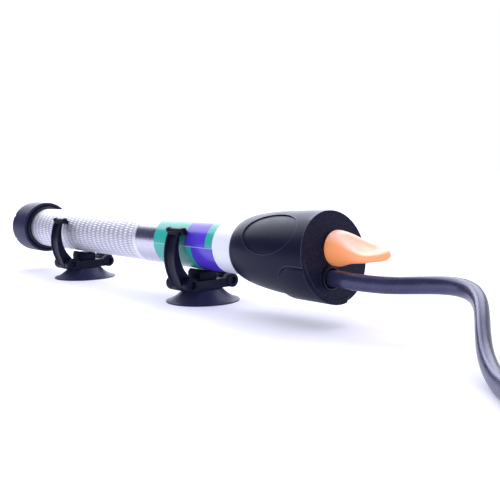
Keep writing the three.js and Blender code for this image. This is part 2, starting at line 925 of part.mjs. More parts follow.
// Base with a saddle post, hinge lugs at both ends and a socket for the cup
function bracketBase() {
  const half = bracketLength / 2;
  const bar = solid(block([-half + 0.5, -pivotY, barBottomZ], [half - 0.5, pivotY, barTopZ]));
  const lugs = [-1, 1].map((side) =>
    solid(rodX(lugRadius, -half, half)).translate([0, side * pivotY, pivotZ]));
  const tools = [solid(rodX(gripRadius, -half - 1, half + 1, 72)).translate([0, 0, axisZ])];
  const knuckle = clawWidth / 2 + fitGap;
  const sweep = lugRadius + fitGap;
  for (const side of [-1, 1]) {
    const slot = block([-knuckle, -sweep, -10], [knuckle, sweep + 10, 10]);
    if (side < 0) slot.rotateZ(Math.PI);
    tools.push(solid(slot).translate([0, side * pivotY, pivotZ]));
    const pinHole = solid(rodX(pinHoleRadius, -half - 1, half + 1, pinSides));
    tools.push(pinHole.translate([0, side * pivotY, pivotZ]));
  }
  const neckTop = cupHeight + cupNeckHeight;
  tools.push(solid(turnedZ([
    [0, barBottomZ - 1],
    [cupNeckRadius + slipGap, barBottomZ - 1],
    [cupNeckRadius + slipGap, neckTop],
    [cupButtonRadius + fitGap, neckTop],
    [cupButtonRadius + fitGap, neckTop + cupButtonHeight + 0.3],
    [0, neckTop + cupButtonHeight + 0.3],
  ], smallSides)));
  return geometryOf(cut(join(bar, saddlePost(), ...lugs), ...tools));
}

// Soft cup with a hollow underside, a neck and a button that snaps in the base
function suctionCup() {
  const buttonBottom = cupHeight + cupNeckHeight + 0.15;
  const flare = new THREE.QuadraticBezierCurve(
    point(cupRadius - 0.15, cupRim),
    point(cupTopRadius + 2.6, 2.6),
    point(cupTopRadius, cupHeight),
  );
  const hollow = new THREE.QuadraticBezierCurve(
    point(0, cupHeight - cupWall - 0.6),
    point(cupTopRadius, cupHeight - cupWall - 0.6),
    point(cupRadius - cupWall, 0),
  );
  return turnedZ([
    ...hollow.getPoints(4).map((p) => [p.x, p.y]),
    [cupRadius, 0],
    ...flare.getPoints(4).map((p) => [p.x, p.y]),
    [cupNeckRadius, cupHeight],
    [cupNeckRadius, buttonBottom],
    [cupButtonRadius, buttonBottom],
    [cupButtonRadius, buttonBottom + 1],
    [cupButtonRadius * 0.5, buttonBottom + cupButtonHeight - 0.15],
    [0, buttonBottom + cupButtonHeight - 0.15],
  ], 24);
}

// Place of the crossbar that ends a claw, above the tube's side
const crossbarOut = gripRadius + padReach;
const crossbarY = crossbarOut * Math.cos(radians(crossbarAngle));
const crossbarZ = axisZ + crossbarOut * Math.sin(radians(crossbarAngle));

// Curved arm of a claw, wide at its knuckle and slim at its tip
function clawArm() {
  const arm = new THREE.Shape();
  const bulge = pivotY + clawBulge;
  const midZ = (pivotZ + crossbarZ) / 2;
  arm.moveTo(pivotY, pivotZ);
  arm.lineTo(pivotY + lugRadius * 0.83, pivotZ - lugRadius * 0.55);
  arm.lineTo(bulge - 2, pivotZ + lugRadius);
  arm.quadraticCurveTo(bulge + 2.1, midZ + 0.7, crossbarY + 1.5, crossbarZ - 0.4);
  arm.lineTo(crossbarY + 0.2, crossbarZ - 0.4);
  arm.quadraticCurveTo(bulge - 0.5, midZ + 2.6, pivotY + 1.2, pivotZ + 2 * lugRadius);
  arm.lineTo(pivotY - lugRadius * 0.6, pivotZ + lugRadius * 0.8);
  return slabX(arm, clawWidth, 8);
}

// Channel that leaves a raised rib along each edge of the arm's outside, from
// the foot of the claw up to its crossbar
function clawChannel() {
  const channel = new THREE.Shape();
  const bulge = pivotY + clawBulge - clawRibHeight;
  const midZ = (pivotZ + crossbarZ) / 2;
  const footZ = pivotZ - lugRadius * 0.3;
  const neckZ = crossbarZ - crossbarEndRadius - fitGap;
  channel.moveTo(pivotY + lugRadius - clawRibHeight, footZ);
  channel.lineTo(bulge - 2, pivotZ + lugRadius);
  channel.quadraticCurveTo(bulge + 2.1, midZ + 0.7, crossbarY + 1.4 - clawRibHeight, neckZ);
  channel.lineTo(bulge + 6, neckZ);
  channel.lineTo(bulge + 6, footZ);
  return solid(slabX(channel, clawWidth - 2 * clawRib, 8));
}

// Claw with its knuckle at the pivot, a grip pad and a crossbar with knobbed
// ends to pull it open
function claw() {
  const halfBar = crossbarLength / 2;
  const knuckle = solid(rodX(lugRadius, -clawWidth / 2, clawWidth / 2)).translate([0, pivotY, pivotZ]);
  const knobStart = halfBar - crossbarEndLength;
  const round = crossbarEndRadius * 0.3;
  const crossbar = solid(turnedX([
    [0, -halfBar],
    [crossbarEndRadius - round, -halfBar],
    [crossbarEndRadius, -halfBar + round],
    [crossbarEndRadius, -knobStart],
    [crossbarRadius, round - knobStart],
    [crossbarRadius, knobStart - round],
    [crossbarEndRadius, knobStart],
    [crossbarEndRadius, halfBar - round],
    [crossbarEndRadius - round, halfBar],
    [0, halfBar],
  ], pinSides)).translate([0, crossbarY, crossbarZ]);
  const pad = block(
    [-clawWidth / 2, gripRadius - 1, -padWidth / 2],
    [clawWidth / 2, crossbarOut, padWidth / 2],
  );
  pad.rotateX(radians(crossbarAngle));
  const padSolid = solid(pad).translate([0, 0, axisZ]);
  const tubeSpace = solid(rodX(gripRadius, -20, 20, 72)).translate([0, 0, axisZ]);
  const pinHole = solid(rodX(pinHoleRadius, -20, 20, pinSides)).translate([0, pivotY, pivotZ]);
  const body = join(solid(clawArm()), knuckle, crossbar, padSolid);
  const finished = cut(body, clawChannel(), tubeSpace, pinHole);
  return geometryOf(finished.translate([0, -pivotY, -pivotZ]));
}

const baseGeometry = bracketBase();
const clawGeometry = claw();
const cupGeometry = suctionCup();
const hingePinHalf = bracketLength / 2 - hingePinRecess;

// One whole bracket: base, cup, two claws and their hinge pins
function clipBracket(place, x) {
  const bracket = new THREE.Group();
  bracket.position.x = x;
  heater.add(bracket);
  part(`${place}_bracket_base`, baseGeometry, clipPlastic, bracket);
  part(`${place}_suction_cup`, cupGeometry, rubber, bracket);
  for (const [side, turn] of [['near', Math.PI], ['far', 0]]) {
    const hinge = new THREE.Group();
    hinge.position.set(0, side === 'near' ? -pivotY : pivotY, pivotZ);
    hinge.rotation.z = turn;
    bracket.add(hinge);
    part(`${place}_${side}_claw`, clawGeometry, clipPlastic, hinge);
    const pin = rodX(hingePinRadius, -hingePinHalf, hingePinHalf, pinSides);
    part(`${place}_${side}_hinge_pin`, pin, clipPlastic, hinge);
  }
}

clipBracket('front', frontBracketX);
clipBracket('rear', frontBracketX - bracketSpacing);

// ---- Cord and plug -------------------------------------------------------

const floorZ = cordRadius + 0.05;
const glandWorld = new THREE.Vector3(0, 0, glandZ);
glandWorld.applyAxisAngle(new THREE.Vector3(1, 0, 0), -radians(headTurn));
const exitY = glandWorld.y;
const exitZ = axisZ + glandWorld.z;
const coilOuter = coilRadius + (turnPitch * (turnsAcross - 1)) / 2;
const coilEdge = coilOuter + cordRadius;
const coilTop = turnPitch * (turnsHigh - 1) + 2 * cordRadius;
const plugFloor = coilTop + fitGap;

// Stretch from inside the gland, out in the air and down over the floor
function cordRun() {
  const route = [
    [faceX - chamberWall - 2.5, exitY, exitZ],
    [faceX - 4, exitY, exitZ],
    [faceX + 4.9, exitY, exitZ],
    [faceX + 12.5, exitY + 0.6, exitZ - 0.3],
    [faceX + 23.7, 0, 17.6],
    [faceX + 34.9, 3.1, 18.4],
    [faceX + 42.5, 3.9, 19.1],
    [faceX + 50.1, 2.9, 19.4],
    [faceX + 57, -0.3, 18.8],
    [faceX + 62.5, -5, 16.8],
    [faceX + 66.8, -10.6, 13.7],
    [faceX + 70.7, -16.2, 10.1],
    [faceX + 75, -21.6, 6.7],
    [faceX + 80.1, -26.9, 4.3],
    [faceX + 85.7, -32, floorZ],
    [faceX + 87.8, -33.8, floorZ],
  ];
  return wire(route.map((p) => new THREE.Vector3(...p)), cordRadius, cordSides, 22);
}

// Stretch that curls over the top of the coil and into the plug's tail
function cordTail() {
  const { x, y } = coilCentre;
  const lying = coilTop + fitGap + cordRadius;
  const route = [
    [x - 28.4, y + 23.8, lying],
    [x - 32.1, y + 18.6, lying],
    [x - 34.7, y + 12.2, lying + 0.1],
    [x - 35.1, y + 4.5, lying + 0.3],
    [x - 32.7, y - 4, lying + 1],
    [x - 27.6, y - 11, lying + 1.8],
    [x - 20.5, y - 15.7, lying + 2.8],
    [plugEntry.x - 4, plugEntry.y, plugFloor + plugHeight / 2 - 0.2],
    [plugEntry.x - fitGap, plugEntry.y, plugFloor + plugHeight / 2],
  ];
  return wire(route.map((p) => new THREE.Vector3(...p)), cordRadius, cordSides, 16);
}

// Outer shape of the coiled turns
function cordCoil() {
  const inside = coilRadius - coilOuter + coilRadius - cordRadius;
  const top = coilTop;
  const round = cordRadius;
  const ring = turnedZ([
    [inside, round],
    [inside + round, 0.05],
    [coilEdge - round, 0.05],
    [coilEdge, round],
    [coilEdge, top - round],
    [coilEdge - round, top],
    [inside + round, top],
    [inside, top - round],
    [inside, round],
  ], 32);
  ring.translate(coilCentre.x, coilCentre.y, 0);
  return ring;
}

// Lays a piece of the plug on the coil, its pins away from the heater
function laidOnCoil(piece) {
  piece.rotateZ(Math.PI);
  piece.translate(plugEntry.x, plugEntry.y, plugFloor);
  return piece;
}

// Flat two-pin plug body with a tapered tail, lying on its broad side
function plugBody() {
  const shoulder = plugWidth / 2;
  const outline = new THREE.Shape();
  const noseX = -plugTailLength - plugBodyLength;
  outline.moveTo(noseX, -shoulder + 4);
  outline.lineTo(noseX + 3, -shoulder);
  outline.lineTo(noseX + 14, -shoulder);
  outline.quadraticCurveTo(noseX + 22, -shoulder, -plugTailLength + 1, -plugTailRadius);
  outline.lineTo(-plugTailLength + 1, plugTailRadius);
  outline.quadraticCurveTo(noseX + 22, shoulder, noseX + 14, shoulder);
  outline.lineTo(noseX + 3, shoulder);
  outline.lineTo(noseX, shoulder - 4);
  const bevel = 1.2;
  const body = new THREE.ExtrudeGeometry(outline, {
    depth: plugHeight - 2 * bevel,
    bevelThickness: bevel,
    bevelSize: bevel,
    bevelOffset: -bevel,
    bevelSegments: 2,
    curveSegments: 6,
  });
  body.translate(0, 0, bevel);
  const tail = turnedX([
    [0, -plugTailLength],
    [plugTailRadius, -plugTailLength],
    [cordRadius + 0.8, 0],
    [0, 0],
  ], smallSides);
  tail.translate(0, 0, plugHeight / 2);
  const sockets = [-1, 1].map((side) => {
    const socket = rodX(plugPinRadius + pinGap, noseX - 1, noseX + 8, 16);
    socket.translate(0, (side * plugPinSpacing) / 2, plugHeight / 2);
    return solid(socket);
  });
  return laidOnCoil(geometryOf(cut(join(solid(body), solid(tail)), ...sockets)));
}

function plugPin(side) {
  const noseX = -plugTailLength - plugBodyLength;
  const pin = turnedX([
    [0, noseX - plugPinLength],
    [plugPinRadius * 0.6, noseX - plugPinLength],
    [plugPinRadius, noseX - plugPinLength + 1.2],
    [plugPinRadius, noseX + 8 - fitGap],
    [0, noseX + 8 - fitGap],
  ], 16);
  pin.translate(0, (side * plugPinSpacing) / 2, plugHeight / 2);
  return laidOnCoil(pin);
}

part('cord_run', cordRun(), cordSheath, heater);
part('cord_coil', cordCoil(), cordSheath, heater);
part('cord_tail', cordTail(), cordSheath, heater);
part('plug_body', plugBody(), cordSheath, heater);
part('plug_pin_left', plugPin(-1), silver, heater);
part('plug_pin_right', plugPin(1), silver, heater);

export default heater;
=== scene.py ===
# %% [markdown]
# # A submersible aquarium heater
#
# The object is a steel sheath tube with a black end cap, a black head with an
# orange setting knob, a mains cord, and two clip brackets on suction cups.
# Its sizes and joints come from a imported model, which is loaded here as a
# fixed frame. Loading first means that no piece has to be measured again: a
# piece is built where the frame says that it belongs, and then rides on it.

import math

import bmesh
import bpy
from mathutils import Matrix, Vector


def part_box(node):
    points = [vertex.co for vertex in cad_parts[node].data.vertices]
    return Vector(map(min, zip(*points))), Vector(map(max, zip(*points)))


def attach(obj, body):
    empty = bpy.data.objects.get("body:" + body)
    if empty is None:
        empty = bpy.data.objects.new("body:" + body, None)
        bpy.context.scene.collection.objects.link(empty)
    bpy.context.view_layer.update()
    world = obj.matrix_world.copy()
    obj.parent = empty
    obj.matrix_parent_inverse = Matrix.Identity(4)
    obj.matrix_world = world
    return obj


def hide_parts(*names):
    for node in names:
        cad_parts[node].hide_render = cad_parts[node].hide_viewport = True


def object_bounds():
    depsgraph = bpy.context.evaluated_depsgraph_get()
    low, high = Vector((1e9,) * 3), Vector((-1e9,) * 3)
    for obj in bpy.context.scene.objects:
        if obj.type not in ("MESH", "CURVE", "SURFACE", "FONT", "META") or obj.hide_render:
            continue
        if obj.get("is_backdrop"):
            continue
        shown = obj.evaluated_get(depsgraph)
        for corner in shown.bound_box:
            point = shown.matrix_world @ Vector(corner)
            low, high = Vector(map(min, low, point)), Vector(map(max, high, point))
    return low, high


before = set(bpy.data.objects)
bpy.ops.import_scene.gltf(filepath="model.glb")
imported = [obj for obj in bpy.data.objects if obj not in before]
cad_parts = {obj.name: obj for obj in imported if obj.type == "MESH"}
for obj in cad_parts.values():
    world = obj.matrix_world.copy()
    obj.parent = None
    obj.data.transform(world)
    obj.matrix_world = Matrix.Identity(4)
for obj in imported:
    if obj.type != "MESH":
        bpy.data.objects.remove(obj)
cad_low, cad_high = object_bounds()
scene = bpy.context.scene
MM = 0.001
print("size in mm:", [round(s / MM, 1) for s in cad_high - cad_low])

# %% [markdown]
# ## The camera
#
# A camera can be turned by angles or told to track a target. Here it gets its
# forward and up directions as vectors, because a product shot often has a
# slight roll, which two vectors hold exactly. The lens is a short telephoto
# close to the head, so the far end cap looks clearly smaller than the head.

# %% Make the camera
camera_data = bpy.data.cameras.new("camera")
camera_data.sensor_width = 36
camera_data.lens = 53.85
camera_data.clip_start = 0.01
camera = bpy.data.objects.new("camera", camera_data)
scene.collection.objects.link(camera)
scene.camera = camera
look = Vector((-0.75888, 0.64228, -0.10757)).normalized()
roll_up = Vector((-0.06899, 0.08497, 0.99399))
side = look.cross(roll_up).normalized()
axes = Matrix((side, side.cross(look), -look)).transposed().to_4x4()
stand = (0.297327, -0.194643, 0.05718)
camera.matrix_world = Matrix.Translation(stand) @ axes
print("camera pitch in degrees:", round(math.degrees(math.asin(look.z)), 1))

# %% [markdown]
# ## Meshes from rings
#
# Most of this object is turned, swept or lofted, and all three come down to
# one thing: rings of points joined by quads. A screw modifier or a bevelled
# curve could make some of them, but a small skin function makes all of them,
# and leaves clean quads with nothing to apply.

# %% Rings to a closed skin
SAME_PLACE = 1e-7


def new_piece(name, mesh):
    """An object for a mesh, linked into the scene."""
    piece = bpy.data.objects.new(name, mesh)
    scene.collection.objects.link(piece)
    return piece


def mesh_of(bm, name):
    """The finished mesh of a bmesh, with its faces looking outwards."""
    bmesh.ops.remove_doubles(bm, verts=bm.verts, dist=SAME_PLACE)
    bmesh.ops.recalc_face_normals(bm, faces=bm.faces)
    mesh = bpy.data.meshes.new(name)
    bm.to_mesh(mesh)
    bm.free()
    return mesh


def skin(name, rings, loop=False):
    """A closed surface over rings that all have the same number of points."""
    bm = bmesh.new()
    rows = [[bm.verts.new(p) for p in ring] for ring in rings]
    pairs = list(zip(rows, rows[1:]))
    if loop:
        pairs.append((rows[-1], rows[0]))
    for row, following in pairs:
        for i in range(len(row)):
            j = (i + 1) % len(row)
            bm.faces.new((row[i], row[j], following[j], following[i]))
    if not loop:
        bm.faces.new(rows[0])
        bm.faces.new(rows[-1])
    return new_piece(name, mesh_of(bm, name))


def shade(piece, angle=32):
    """Smooth shading that keeps edges sharper than the angle."""
    for polygon in piece.data.polygons:
        polygon.use_smooth = True
    piece.data.set_sharp_from_angle(angle=math.radians(angle))
    return piece


# %% [markdown]
# ## The cord
#
# The mains lead is a soft oval flex, 6 mm high and 4.4 mm thick, and about
# 1.3 m long. It leaves the head level, sags, swings down to the floor and
# runs into a neat coil that lies just out of sight, with the plug on top.
# A curve with a round bevel can't be oval and keep its wide side upright, so
# the flex is an oval swept along a line of points. The line is a centripetal
# Catmull-Rom curve, the kind that doesn't overshoot between uneven points.

# %% A smooth line through points
def through(points, step=0.0025):
    """Points about a step apart on a smooth curve through the given ones."""
    knots = [2 * points[0] - points[1], *points, 2 * points[-1] - points[-2]]
    line = []
    for before, start, end, after in zip(knots, knots[1:], knots[2:], knots[3:]):
        a, b, c = (
            math.sqrt((q - p).length)
            for p, q in ((before, start), (start, end), (end, after))
        )
        leaving = (start - before) / a - (end - before) / (a + b) + (end - start) / b
        arriving = (end - start) / b - (after - start) / (b + c) + (after - end) / c
        count = max(1, round((end - start).length / step))
        for i in range(count):
            t = i / count
            line.append(
                start * (2 * t**3 - 3 * t**2 + 1)
                + leaving * b * (t**3 - 2 * t**2 + t)
                + end * (3 * t**2 - 2 * t**3)
                + arriving * b * (t**3 - t**2)
            )
    return [*line, points[-1]]


def oval(half_width, half_height, sides=20, power=2.4):
    """A soft oval as offsets across and upwards."""
    points = []
    for i in range(sides):
        angle = 2 * math.pi * i / sides
        c, s = math.cos(angle), math.sin(angle)
        reach = (abs(c) ** power + abs(s) ** power) ** (-1 / power)
        points.append((half_width * reach * c, half_height * reach * s))
    return points


def swept(name, line, section):
    """A section carried along a line with its height kept upright."""
    rings = []
    for i, centre in enumerate(line):
        following = line[min(i + 1, len(line) - 1)]
        ahead = (following - line[max(i - 1, 0)]).normalized()
        across = ahead.cross(Vector((0, 0, 1))).normalized()
        upward = across.cross(ahead)
        rings.append([centre + across * u + upward * v for u, v in section])
    return skin(name, rings)


# %% [markdown]
# The route repeats the frame's points. Its coil has three turns on the floor,
# going inwards, and then turns on top of them, going outwards. Each step from
# one turn to the next happens over 60 degrees, and the climb to the second
# layer comes just before the place where it would meet the turn below. The
# end climbs once more, curls over the turns and meets the plug lying on them.

# %% The coil's turns
CORD_RADIUS = 3 * MM
FLOOR_Z = CORD_RADIUS + 0.05 * MM
TURN_PITCH = 6.1 * MM
COIL_CENTRE = Vector((242.7, -20, 0)) * MM
COIL_RADII = (37.1 * MM, 31 * MM, 24.9 * MM)
SHIFT_SPAN = 60


def ease(share):
    """A share from 0 to 1 that starts and stops gently."""
    t = min(1, max(0, share))
    return t * t * (3 - 2 * t)


def coil_points(start_angle=-130.8, end_angle=1925, step=15):
    """Points round the coil: inwards on the floor, then outwards on top."""
    outer, middle, inner = COIL_RADII
    shifts = (
        (300, middle - outer), (660, inner - middle),
        (1310, middle - inner), (1670, outer - middle),
    )
    climbs = ((960, 90), (1975, 80))
    points = []
    total = end_angle - start_angle
    count = round(total / step)
    for i in range(count + 1):
        done = total * i / count
        radius = outer + sum(by * ease((done - at) / SHIFT_SPAN) for at, by in shifts)
        climbed = sum(ease((done - at) / span) for at, span in climbs)
        angle = math.radians(start_angle + done)
        x, y = radius * math.cos(angle), radius * math.sin(angle)
        points.append(COIL_CENTRE + Vector((x, y, FLOOR_Z + TURN_PITCH * climbed)))
    return points


# %% Lay and sweep the cord
CORD_HALF_THICKNESS = 2.2 * MM
exit_y, exit_z = -3.402, 18.104


def in_mm(*rows):
    """Places in mm as vectors in metres."""
    return [Vector(row) * MM for row in rows]


run = in_mm(
    (102, exit_y, exit_z), (110, exit_y, exit_z), (118.9, exit_y, exit_z),
    (126.5, -2.8, 17.8), (137.7, 0, 17.6), (148.9, 3.1, 18.4), (156.5, 3.9, 19.1),
    (164.1, 2.9, 19.4), (171, -0.3, 18.8), (176.5, -5, 16.8), (180.8, -10.6, 13.7),
    (184.7, -16.2, 10.1), (189, -21.6, 6.7), (194.1, -26.9, 4.3),
    (199.7, -32, 3.05), (201.8, -33.8, 3.05), (209, -40, 3.05),
)
tail = in_mm(
    (214.3, 3.8, 15.4), (210.6, -1.4, 15.4), (208, -7.8, 15.5), (207.6, -15.5, 15.7),
    (210, -24, 16.4), (215.1, -31, 17.2), (222.2, -35.7, 18.2),
    (229.5, -37.5, 19.05), (233.4, -37.5, 19.25),
)
cord_line = through(run + coil_points() + tail)
cord_length = sum((q - p).length for p, q in zip(cord_line, cord_line[1:]))
cord_section = oval(CORD_HALF_THICKNESS, CORD_RADIUS)
cord = shade(swept("cord_flex", cord_line, cord_section), 60)
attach(cord, "heater")
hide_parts("cord_run", "cord_coil", "cord_tail")
print("cord length in m:", round(cord_length, 3), "with", len(cord_line), "stations")

# %% [markdown]
# ## Turned pieces
#
# The tube, its film, the cap, the collar, the gland and the cups are all
# bodies of revolution. A profile is a list of radius and place along the
# axis. Moulded and drawn pieces never have knife edges, and it is the small
# rounds that catch the light, so the profile's corners are rounded before it
# is turned. A bevel modifier could do the same later, but would have to find
# the edges by their angle.

# %% Turning with rounded corners
def rounded(profile, radius, steps=4):
    """The profile with each inner corner turned into a small curve."""
    points = [Vector(p) for p in profile]
    made = [points[0]]
    for before, corner, after in zip(points, points[1:], points[2:]):
        shorter = min((before - corner).length, (after - corner).length)
        arm = min(radius, shorter / 2.2)
        start = corner + (before - corner).normalized() * arm
        end = corner + (after - corner).normalized() * arm
        for i in range(steps + 1):
            t = i / steps
            made.append(start * (1 - t) ** 2 + corner * 2 * t * (1 - t) + end * t**2)
    return [*made, points[-1]]


def turned(name, profile, place, axis="X", sides=128, swell=None):
    """A profile of (radius, place) in mm, turned about X or Z and then placed."""
    rings = []
    for radius, along in profile:
        ring = []
        for i in range(sides):
            angle = 2 * math.pi * i / sides
            r = radius + (swell(angle) if swell and radius > 0 else 0)
            u, v = r * math.cos(angle), r * math.sin(angle)
            ring.append(Vector((along, u, v) if axis == "X" else (u, v, along)) * MM)
        rings.append(ring)
    loop = (Vector(profile[0]) - Vector(profile[-1])).length < 1e-6
    piece = skin(name, rings[:-1] if loop else rings, loop)
    piece.data.transform(place)
    return shade(piece)


AXIS_Z = 25.4 * MM
TUBE = Matrix.Translation((0, 0, AXIS_Z))

# %% [markdown]
# ## Sheath tube
#
# The sheath is deep-drawn stainless steel. Its heated zone is rolled with
# rings of small raised dots, and ends at a smooth raised band before the plain
# brushed part. The dots stand less than a fifth of a millimetre high, far too
# fine for geometry, so they will be bump in the steel's material, while the
# step at the band is real and is in the profile.

# %% Turn the tube
CAP_FACE_X = -117.7
EMBOSSED_END_X = -5.3
BAND_END_X = -2.1
TUBE_END_X, TUBE_FLOOR_X, TUBE_MOUTH_X = -132.6, -132, 90
TUBE_RADIUS, TUBE_BORE = 11, 10.4
EMBOSSED_RADIUS, BAND_RADIUS = 10.85, 11.1
tube_profile = [
    (0, TUBE_END_X), (EMBOSSED_RADIUS, TUBE_END_X), (EMBOSSED_RADIUS, EMBOSSED_END_X),
    (BAND_RADIUS, EMBOSSED_END_X + 0.15), (BAND_RADIUS, BAND_END_X - 0.1),
    (TUBE_RADIUS, BAND_END_X), (TUBE_RADIUS, TUBE_MOUTH_X),
    (TUBE_BORE, TUBE_MOUTH_X), (TUBE_BORE, TUBE_FLOOR_X), (0, TUBE_FLOOR_X),
]
tube = turned("sheath_tube", rounded(tube_profile, 0.15, 2), TUBE)
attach(tube, "heater")
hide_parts("heating_tube")
print("tube faces:", len(tube.data.polygons))

# %% [markdown]
# ## Printed film
#
# A thin plastic film is wrapped round the tube in front of the head, and its
# ends overlap along one side, where the print steps. The overlap is modelled:
# the radius grows by 0.06 mm over a narrow strip, which is enough to draw a
# fine line of light along the seam.

# %% Wrap the film
FILM_START_X, FILM_END_X = 13.6, 68.1
FILM_BORE, FILM_RADIUS = 11.05, 11.25
SEAM_ANGLE, SEAM_HEIGHT = 181.5, 0.06


def seam_swell(angle):
    """Extra radius in mm where the film's ends overlap, at the near side."""
    offset = abs((math.degrees(angle) - SEAM_ANGLE + 180) % 360 - 180)
    return SEAM_HEIGHT * (1 - ease((offset - 1.4) / 1.6))


film_profile = [
    (FILM_BORE, FILM_END_X), (FILM_BORE, FILM_START_X), (FILM_RADIUS, FILM_START_X),
    (FILM_RADIUS, FILM_END_X), (FILM_BORE, FILM_END_X),
]
film = turned("label_film", film_profile, TUBE, sides=256, swell=seam_swell)
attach(film, "heater")
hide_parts("label_wrap")

# %% [markdown]
# ## Cutting with booleans
#
# The cap's notches and the head's recesses are cut with the Boolean modifier,
# as the mould's own cores would do it. Each cut is applied at once, so the
# next one works on a plain mesh. A bevel then rounds whatever edges the cuts
# left, because those edges can't be rounded beforehand.

# %% Carve and soften
def apply_modifiers(piece):
    """Replaces a piece's mesh by what its modifiers make of it."""
    bpy.context.view_layer.update()
    graph = bpy.context.evaluated_depsgraph_get()
    mesh = bpy.data.meshes.new_from_object(piece.evaluated_get(graph))
    piece.modifiers.clear()
    piece.data = mesh
    return piece


def carve(piece, *tools, operation="DIFFERENCE"):
    """Cuts, joins or intersects a piece with tools, which are used up."""
    for tool in tools:
        step = piece.modifiers.new("carve", "BOOLEAN")
        step.object = tool
        step.operation = operation
        step.solver = "EXACT"
        apply_modifiers(piece)
        bpy.data.objects.remove(tool)
    return piece


def add_bevel(piece, width, segments=2, angle=35):
    """A bevel for the edges that are sharper than the angle."""
    step = piece.modifiers.new("soften", "BEVEL")
    step.width = width * MM
    step.segments = segments
    step.limit_method = "ANGLE"
    step.angle_limit = math.radians(angle)


def soften(piece, width, segments=2):
    """Rounds the sharp edges of a piece for good."""
    add_bevel(piece, width, segments)
    return shade(apply_modifiers(piece))


def box_tool(low, high, turn):
    """A box between two corners in mm, then turned."""
    bm = bmesh.new()
    size = Vector(high) - Vector(low)
    middle = (Vector(high) + Vector(low)) / 2
    bmesh.ops.create_cube(bm, size=1, matrix=Matrix.Diagonal((*size, 1)))
    bmesh.ops.translate(bm, verts=bm.verts, vec=middle)
    place = Matrix.Scale(MM, 4) @ turn
    bmesh.ops.transform(bm, verts=bm.verts, matrix=place)
    return new_piece("tool", mesh_of(bm, "tool"))


# %% [markdown]
# ## End cap and collar
#
# The cap closes the far end. Its rim has six square notches, which a finger
# or tool can grip, and its mouth holds a soft collar round the tube. The cap
# is turned with a long round shoulder, and the notches are cut afterwards.
# The collar has four small lugs, by which it is pressed home.

# %% Make the end cap and its collar
def about_x(degrees):
    return Matrix.Rotation(math.radians(degrees), 4, "X")


CAP_END_X = -137.5
CAP_RADIUS, CAP_MOUTH, CAP_BORE = 14.4, 12.75, 11.25
NOTCHES = 6
shoulder = []
for degrees in range(0, 91, 15):
    a = math.radians(degrees)
    shoulder.append((12.6 + 1.8 * math.sin(a), CAP_END_X + 4.5 * (1 - math.cos(a))))
cap_profile = [
    (0, -134.3), (9.6, -134.3), (10.6, CAP_END_X), *shoulder,
    (CAP_RADIUS, CAP_FACE_X), (CAP_MOUTH, CAP_FACE_X), (CAP_MOUTH, -121),
    (CAP_BORE, -121), (CAP_BORE, -132.9), (0, -132.9),
]
end_cap = turned("end_cap_shell", rounded(cap_profile, 0.5), TUBE)
notch_ends = (CAP_END_X - 1, -1.1, 8.6), (CAP_END_X + 3.4, 1.1, 15.4)
for i in range(NOTCHES):
    notch = box_tool(*notch_ends, about_x(360 / NOTCHES * i))
    notch.data.transform(TUBE)
    carve(end_cap, notch)
soften(end_cap, 0.25)
COLLAR_BORE, COLLAR_RADIUS = 11.12, 12.5
collar_profile = [
    (COLLAR_BORE, -120.7), (COLLAR_RADIUS, -120.7), (COLLAR_RADIUS, CAP_FACE_X - 0.2),
    (11.6, -116.2), (COLLAR_BORE, -116.2), (COLLAR_BORE, -120.7),
]
collar = turned("tube_collar", rounded(collar_profile, 0.3), TUBE)
for angle in (51, 129, -51, -129):
    lug = box_tool((-120.4, 11.4, -1.2), (-116.5, 12.35, 1.2), about_x(angle))
    lug.data.transform(TUBE)
    carve(collar, lug, operation="UNION")
soften(collar, 0.2)
for piece, node, slot in (
    (end_cap, "end_cap", "black_plastic"), (collar, "cap_collar", "rubber"),
):
    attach(piece, "heater")
    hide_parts(node)
print("cap faces:", len(end_cap.data.polygons))

# %% [markdown]
# ## Head
#
# The head is a barrel that swells from the neck to a flat face, which leans
# back a little. Two oval finger dents, one on each side, help to hold it.
# The whole head is turned 25 degrees about the tube, so it is built upright
# in its own frame and then put in place. The dents keep the barrel's own
# curve at their floor: the tool for a dent is an oval prism from which a
# slightly smaller barrel has been taken away.

# %% The head's own frame and cutting tools
FACE_X = 114 * MM
HEAD_TURN, FACE_LEAN = 25, 8.7
HEAD = TUBE @ Matrix.Translation((FACE_X, 0, 0)) @ about_x(-HEAD_TURN)
HEAD_LENGTH = 45.6
HEAD_RADIUS = 16.7
KNOB_OFFSET = 3.3
GLAND_Z = -8.05
FACE_TILT = about_x(HEAD_TURN) @ Matrix.Rotation(math.radians(-FACE_LEAN), 4, "Y")
DENT_DEPTH = 0.45


def bezier(points, steps):
    """Points on a cubic Bezier curve in two dimensions."""
    a, b, c, d = (Vector(p) for p in points)
    made = []
    for i in range(steps + 1):
        t = i / steps
        s = 1 - t
        made.append(a * s**3 + b * 3 * s * s * t + c * 3 * s * t * t + d * t**3)
    return made


def barrel(grow=0):
    """The barrel's outline from its neck to beyond its face, in mm."""
    return bezier(
        (
            (12.4 + grow, 0.8 - HEAD_LENGTH),
            (15.3 + grow, 7.6 - HEAD_LENGTH),
            (16.4 + grow, 0.56 * HEAD_LENGTH - HEAD_LENGTH),
            (HEAD_RADIUS + grow, 4),
        ),
        24,
    )


# %% Tools that cut the head
def prism(outline, turn):
    """An outline in the X-Y plane made thick along Z, then turned, in mm."""
    rings = [[Vector((x, y, z)) for x, y in outline] for z in (0, 2 * HEAD_RADIUS)]
    piece = skin("tool", rings)
    piece.data.transform(Matrix.Scale(MM, 4) @ turn)
    return piece


def rod(radius, start, end, offset=0, sides=64):
    """A plain rod along X in the head's frame."""
    outline = [(0, start), (radius, start), (radius, end), (0, end)]
    place = Matrix.Translation((0, 0, offset * MM))
    return turned("tool", outline, place, sides=sides)


